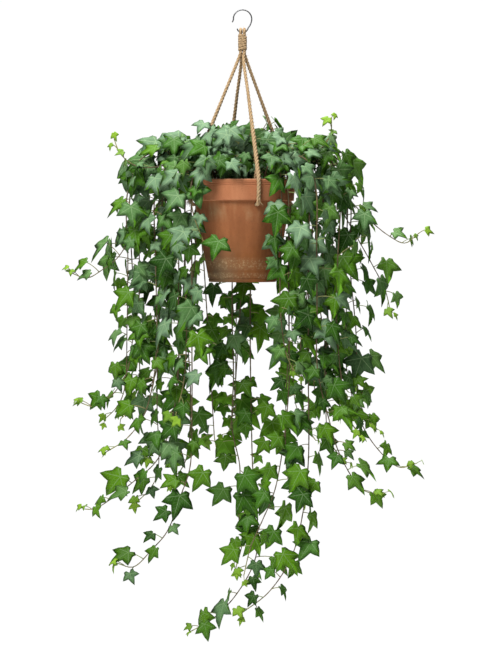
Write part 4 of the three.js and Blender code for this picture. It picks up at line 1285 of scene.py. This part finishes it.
def ivy_leaf():
    """Upper and under side from the face's mark, ribs as distance from rays at RIB_ANGLES."""
    material, w, shader = new_material("ivy_leaf", Specular_IOR_Level=0.12)
    blade_map = w.node("UVMap", {"uv_map": "leaf_map"})
    x, y, _ = w.parts(blade_map)
    y = y.size()
    ribs = veins = 0.0
    for angle in np.radians(RIB_ANGLES):
        along = x * math.cos(angle) + y * math.sin(angle)
        across = (y * math.cos(angle) - x * math.sin(angle)).size()
        width = 0.017 - 0.009 * along
        line = (across / width).step(1.6, 0.4) * along.step(0.0, 0.03)
        branch = w.maths("PINGPONG", (along - across * 0.9) * 7, 0.5)
        twig = branch.step(0.1, 0.02) * across.step(0.24, 0.16) * along.step(0.1, 0.2)
        ribs = w.maths("MAXIMUM", ribs, line)
        veins = w.maths("MAXIMUM", veins, twig)
    age, shade, under = w.attribute("age"), w.attribute("shade"), w.attribute("under")
    wax, sun = w.attribute("wax"), w.attribute("sun")
    cloud = w.noise(w.place(), 90.0)
    tone = (shade * 0.8 + cloud * 0.6).step(0.3, 1.1)
    # Painted sheen: leaves that face the sky are mixed towards a pale bluish green, and their ribs paler.
    clay_bloom_and_leaf_sheen = (wax * (0.55 + cloud * 0.9) - ribs * 0.1).step(0.05, 0.95)
    upper = tone.mixed(LEAF_DARK, LEAF_MID)
    # Painted backlight: sun mixes the upper side towards the yellow green.
    upper = sun.mixed(upper, LEAF_SUN)
    upper = clay_bloom_and_leaf_sheen.mixed(upper, LEAF_SKY_SHEEN)
    upper = (veins * 0.12 + ribs * (wax * 0.3 + 0.28)).step(0.0, 1.0).mixed(upper, LEAF_RIB)
    # The underside's paler end is partly painted backlight, through sun, and partly random tone.
    below = (sun * 0.6 + shade * 0.4 + cloud * 0.4).step(0.2, 1.1).mixed(UNDER_DARK, UNDER_PALE)
    below = (ribs * 0.3).mixed(below, (0.2, 0.34, 0.06))
    colour = under.mixed(upper, below)
    young = (age + shade * 0.12).step(0.45, 0.02)
    colour = young.mixed(colour, LEAF_YOUNG)
    height = ribs * -0.6 + veins * -0.25 + w.noise(blade_map, 9.0) * 0.5
    rough = under * 0.2 + (1 - shade) * 0.12 + 0.4
    feed(w, shader, Base_Color=colour, Roughness=rough, Normal=bump(w, height, 0.5, 0.8 * MM))
    return material


def ivy_stem():
    """Brown wood, greener towards the tip and on the leaf stalks."""
    material, w, shader = new_material("ivy_stem", Roughness=0.7)
    age, wood, shade = w.attribute("age"), w.attribute("wood"), w.attribute("shade")
    place = w.place()
    bark = w.noise(place, 400.0).step(0.3, 0.7).mixed((0.06, 0.042, 0.018), (0.15, 0.105, 0.045))
    stalk = shade.mixed((0.20, 0.27, 0.07), (0.20, 0.17, 0.06))
    green = (1 - age).mixed(bark, (0.24, 0.24, 0.06))
    colour = wood.step(0.6, 0.9).mixed(stalk, green)
    feed(w, shader, Base_Color=colour, Normal=bump(w, w.noise(place, 900.0), 0.4, 0.2 * MM))
    return material


finishes = {"leaf": [ivy_leaf(), ivy_stem()]}
print("ivy finish:", len(finishes["leaf"][0].node_tree.nodes), "nodes")

# %% [markdown]
# ## Clay, jute, steel and soil
# Terracotta is orange at the rim. Below the rim it is painted darker, as in the shade of the
# leaves over it, and darker still towards the bottom, with a green film low on the left, and water
# that seeps through leaves a pale bloom of lime under the rim and near the foot. Jute is a bundle
# of straw-coloured fibres, so its pattern is stretched along the untwisted strands, and the
# grooves between the strands are painted dark as shade. Soil is near black, with
# lighter specks. A picture could be wrapped round each of them, but noise has no seam.

# %% Paint the rest
def terracotta():
    """Clay at the rim, with a paler lip, and clay below that is painted darker as shade, more so
    towards the bottom, with clouds, upright streaks, pores, a green film low on the left, lime that
    has come through under the rim and in two bands near the foot, and turning lines."""
    material, w, shader = new_material("terracotta", Specular_IOR_Level=0.15)
    place = w.place()
    x, _, z = w.parts(place)
    broad = w.noise(place, 20.0, 4.0)
    fine = w.noise(place, 420.0, 4.0, 0.7)
    streaks = w.noise(w.stretched(place, 75.0, 75.0, 9.0), 1.0, 2.0)
    specks = w.noise(place, 300.0, 5.0, 0.75).step(0.5, 0.62)
    foot = RIM_Z - RIM_HEIGHT
    # Painted shade: the clay below the rim is painted darker, as in the shade of the leaves, and darker
    # still towards the bottom.
    painted_body_shade = z.step(foot + 1 * MM, foot - 1 * MM) * 0.55 + z.step(foot - 0.02, BASE_Z + 0.03) * 0.45
    clay = (broad * 0.6 + streaks * 0.6).step(0.4, 0.8).mixed((0.345, 0.128, 0.057), (0.465, 0.195, 0.093))
    shaded_clay = (broad * 0.5 + streaks * 0.7).step(0.4, 0.8).mixed((0.15, 0.052, 0.015), (0.26, 0.088, 0.026))
    clay = painted_body_shade.mixed(clay, shaded_clay)
    clay = (fine.step(0.54, 0.75) * 0.45).mixed(clay, (0.13, 0.055, 0.028))
    algae = (0.02 - x).step(-0.02, 0.06) * z.step(BASE_Z + 0.075, BASE_Z + 0.02) * broad.step(0.35, 0.6)
    clay = (algae * 0.8).mixed(clay, (0.125, 0.095, 0.055))
    high_band = (z - (BASE_Z + 0.028)).size().step(0.011, 0.003)
    bands = high_band + (z - (BASE_Z + 0.010)).size().step(0.006, 0.002)
    bands = bands * (specks * 0.8 + 0.14) * broad.step(0.3, 0.5)
    clay_bloom_and_leaf_sheen = (z - (foot - 0.016)).size().step(0.018, 0.004) * (streaks * 0.5 + broad * 0.5).step(0.46, 0.6)
    lime = (bands + clay_bloom_and_leaf_sheen * (specks * 0.35 + 0.4)).step(0.0, 1.0)
    clay = (lime * 0.85).mixed(clay, (0.37, 0.26, 0.135))
    lip = (z - RIM_Z).size().step(1.6 * MM, 0.4 * MM)
    clay = (lip * fine * 0.8).mixed(clay, (0.50, 0.27, 0.16))
    lines = w.node("TexWave", {"bands_direction": "Z"}, {"Vector": place, "Scale": 160.0, "Distortion": 1.5})
    height = fine * 0.6 + lines * 0.25 + w.noise(place, 120.0) * 0.6 + lime * 0.3
    feed(w, shader, Base_Color=clay, Roughness=0.8 + fine * 0.15, Normal=bump(w, height, 0.6, 0.5 * MM))
    return material


def jute():
    """Fibres along the strands: noise stretched some forty times along the untwisted cord."""
    material, w, shader = new_material("jute", Roughness=0.95)
    straight = w.node("Attribute", {"attribute_name": "unwound"}, None, "Vector")
    fibres = w.noise(w.stretched(straight, 2600.0, 2600.0, 60.0), 1.0, 3.0, 0.6)
    patches = w.noise(w.stretched(straight, 300.0, 300.0, 90.0), 1.0)
    colour = fibres.step(0.3, 0.7).mixed((0.24, 0.145, 0.065), (0.62, 0.44, 0.245))
    colour = (patches.step(0.45, 0.75) * 0.5).mixed(colour, (0.34, 0.215, 0.105))
    # Painted shade: where the crest is low, in the grooves between the strands, the colour is painted dark
    # brown.
    groove = w.attribute("crest").step(0.5, 0.0)
    colour = (groove * 0.8).mixed(colour, (0.075, 0.045, 0.02))
    feed(w, shader, Base_Color=colour, Normal=bump(w, fibres, 0.8, 0.5 * MM))
    return material


def steel():
    """Dull drawn wire with a little rust in patches."""
    material, w, shader = new_material("steel", Metallic=1.0)
    place = w.place()
    patches = w.noise(place, 350.0)
    colour = patches.step(0.55, 0.75).mixed((0.15, 0.152, 0.155), (0.10, 0.085, 0.075))
    feed(w, shader, Base_Color=colour, Roughness=0.32 + patches * 0.25)
    return material


def soil():
    """Peat and bark, near black, with paler specks."""
    material, w, shader = new_material("soil", Roughness=1.0)
    place = w.place()
    grains = w.noise(place, 500.0, 4.0, 0.7)
    colour = grains.step(0.35, 0.65).mixed((0.012, 0.008, 0.005), (0.05, 0.032, 0.02))
    colour = w.noise(place, 900.0).step(0.68, 0.72).mixed(colour, (0.3, 0.26, 0.2))
    feed(w, shader, Base_Color=colour, Normal=bump(w, grains, 0.8, 1 * MM))
    return material


finishes |= {"jute": [jute()], "steel": [steel()], "terracotta": [terracotta()], "soil": [soil()]}
for slot, meshes in worn.items():
    for mesh in meshes:
        for finish in finishes[slot]:
            mesh.materials.append(finish)
print("finishes:", ", ".join(sorted(finishes)))

# %% [markdown]
# ## Floor and light
# The setting is a plain white studio with a pale floor well below the lowest leaf. One large
# soft lamp stands in front, high on the left, and gives the leaves a little gloss; their pale
# sheen where they face the sky is painted into their colour. A second hangs over the plant and
# lights the mound, so that the pot's body lies in the shade of the leaves, and the clay below
# the rim is painted darker as well.
# The world looks white to the camera but gives little light, so the gaps between leaves are dark.

# %% Light the studio
FLOOR_Z = -1.25
FLOOR_HALF = 1.8
FLOOR_GLOW = 0.45
WORLD_LIGHT = 0.18
WORLD_SEEN = 1.02


def make_floor():
    """A flat pale square that glows a little, so it stays white where the lamps don't reach."""
    corners = FLOOR_HALF * np.array([(-1, -1, 0), (1, -1, 0), (1, 1, 0), (-1, 1, 0)]) + [0, 0, FLOOR_Z]
    mesh = as_mesh("studio_floor", corners, [np.array([[0, 1, 2, 3]])])
    material, _, shader = new_material("pale_floor", Roughness=1.0)
    shader.inputs["Base Color"].default_value = (0.9, 0.9, 0.9, 1)
    shader.inputs["Emission Color"].default_value = (1, 1, 1, 1)
    shader.inputs["Emission Strength"].default_value = FLOOR_GLOW
    mesh.materials.append(material)
    made = put("studio_floor", mesh)


def soft_lamp(name, place, aim, size, watts):
    """A square lamp at a place, turned to face the aim."""
    data = bpy.data.lights.new(name, "AREA")
    data.size = size
    data.energy = watts
    lamp = put(name, data)
    lamp.location = place
    lamp.rotation_euler = (Vector(aim) - Vector(place)).to_track_quat("-Z", "Y").to_euler()


world = bpy.data.worlds.new("studio")
world.use_nodes = True
sky = Wire(world.node_tree)
seen = sky.node("LightPath", None, None, "Is Camera Ray")
background = world.node_tree.nodes["Background"]
background.inputs["Color"].default_value = (1, 1, 1, 1)
glow = seen * (WORLD_SEEN - WORLD_LIGHT) + WORLD_LIGHT
world.node_tree.links.new(glow.socket, background.inputs["Strength"])
bpy.context.scene.world = world
make_floor()
soft_lamp("key", (-1.0, -1.8, 1.7), (0, 0, -0.35), 1.2, 115)
soft_lamp("top", (0.2, 0.3, 1.9), (0, 0, -0.4), 1.8, 75)
bpy.context.scene.view_settings.view_transform = "Standard"
print("lamps lit, world at", WORLD_LIGHT)
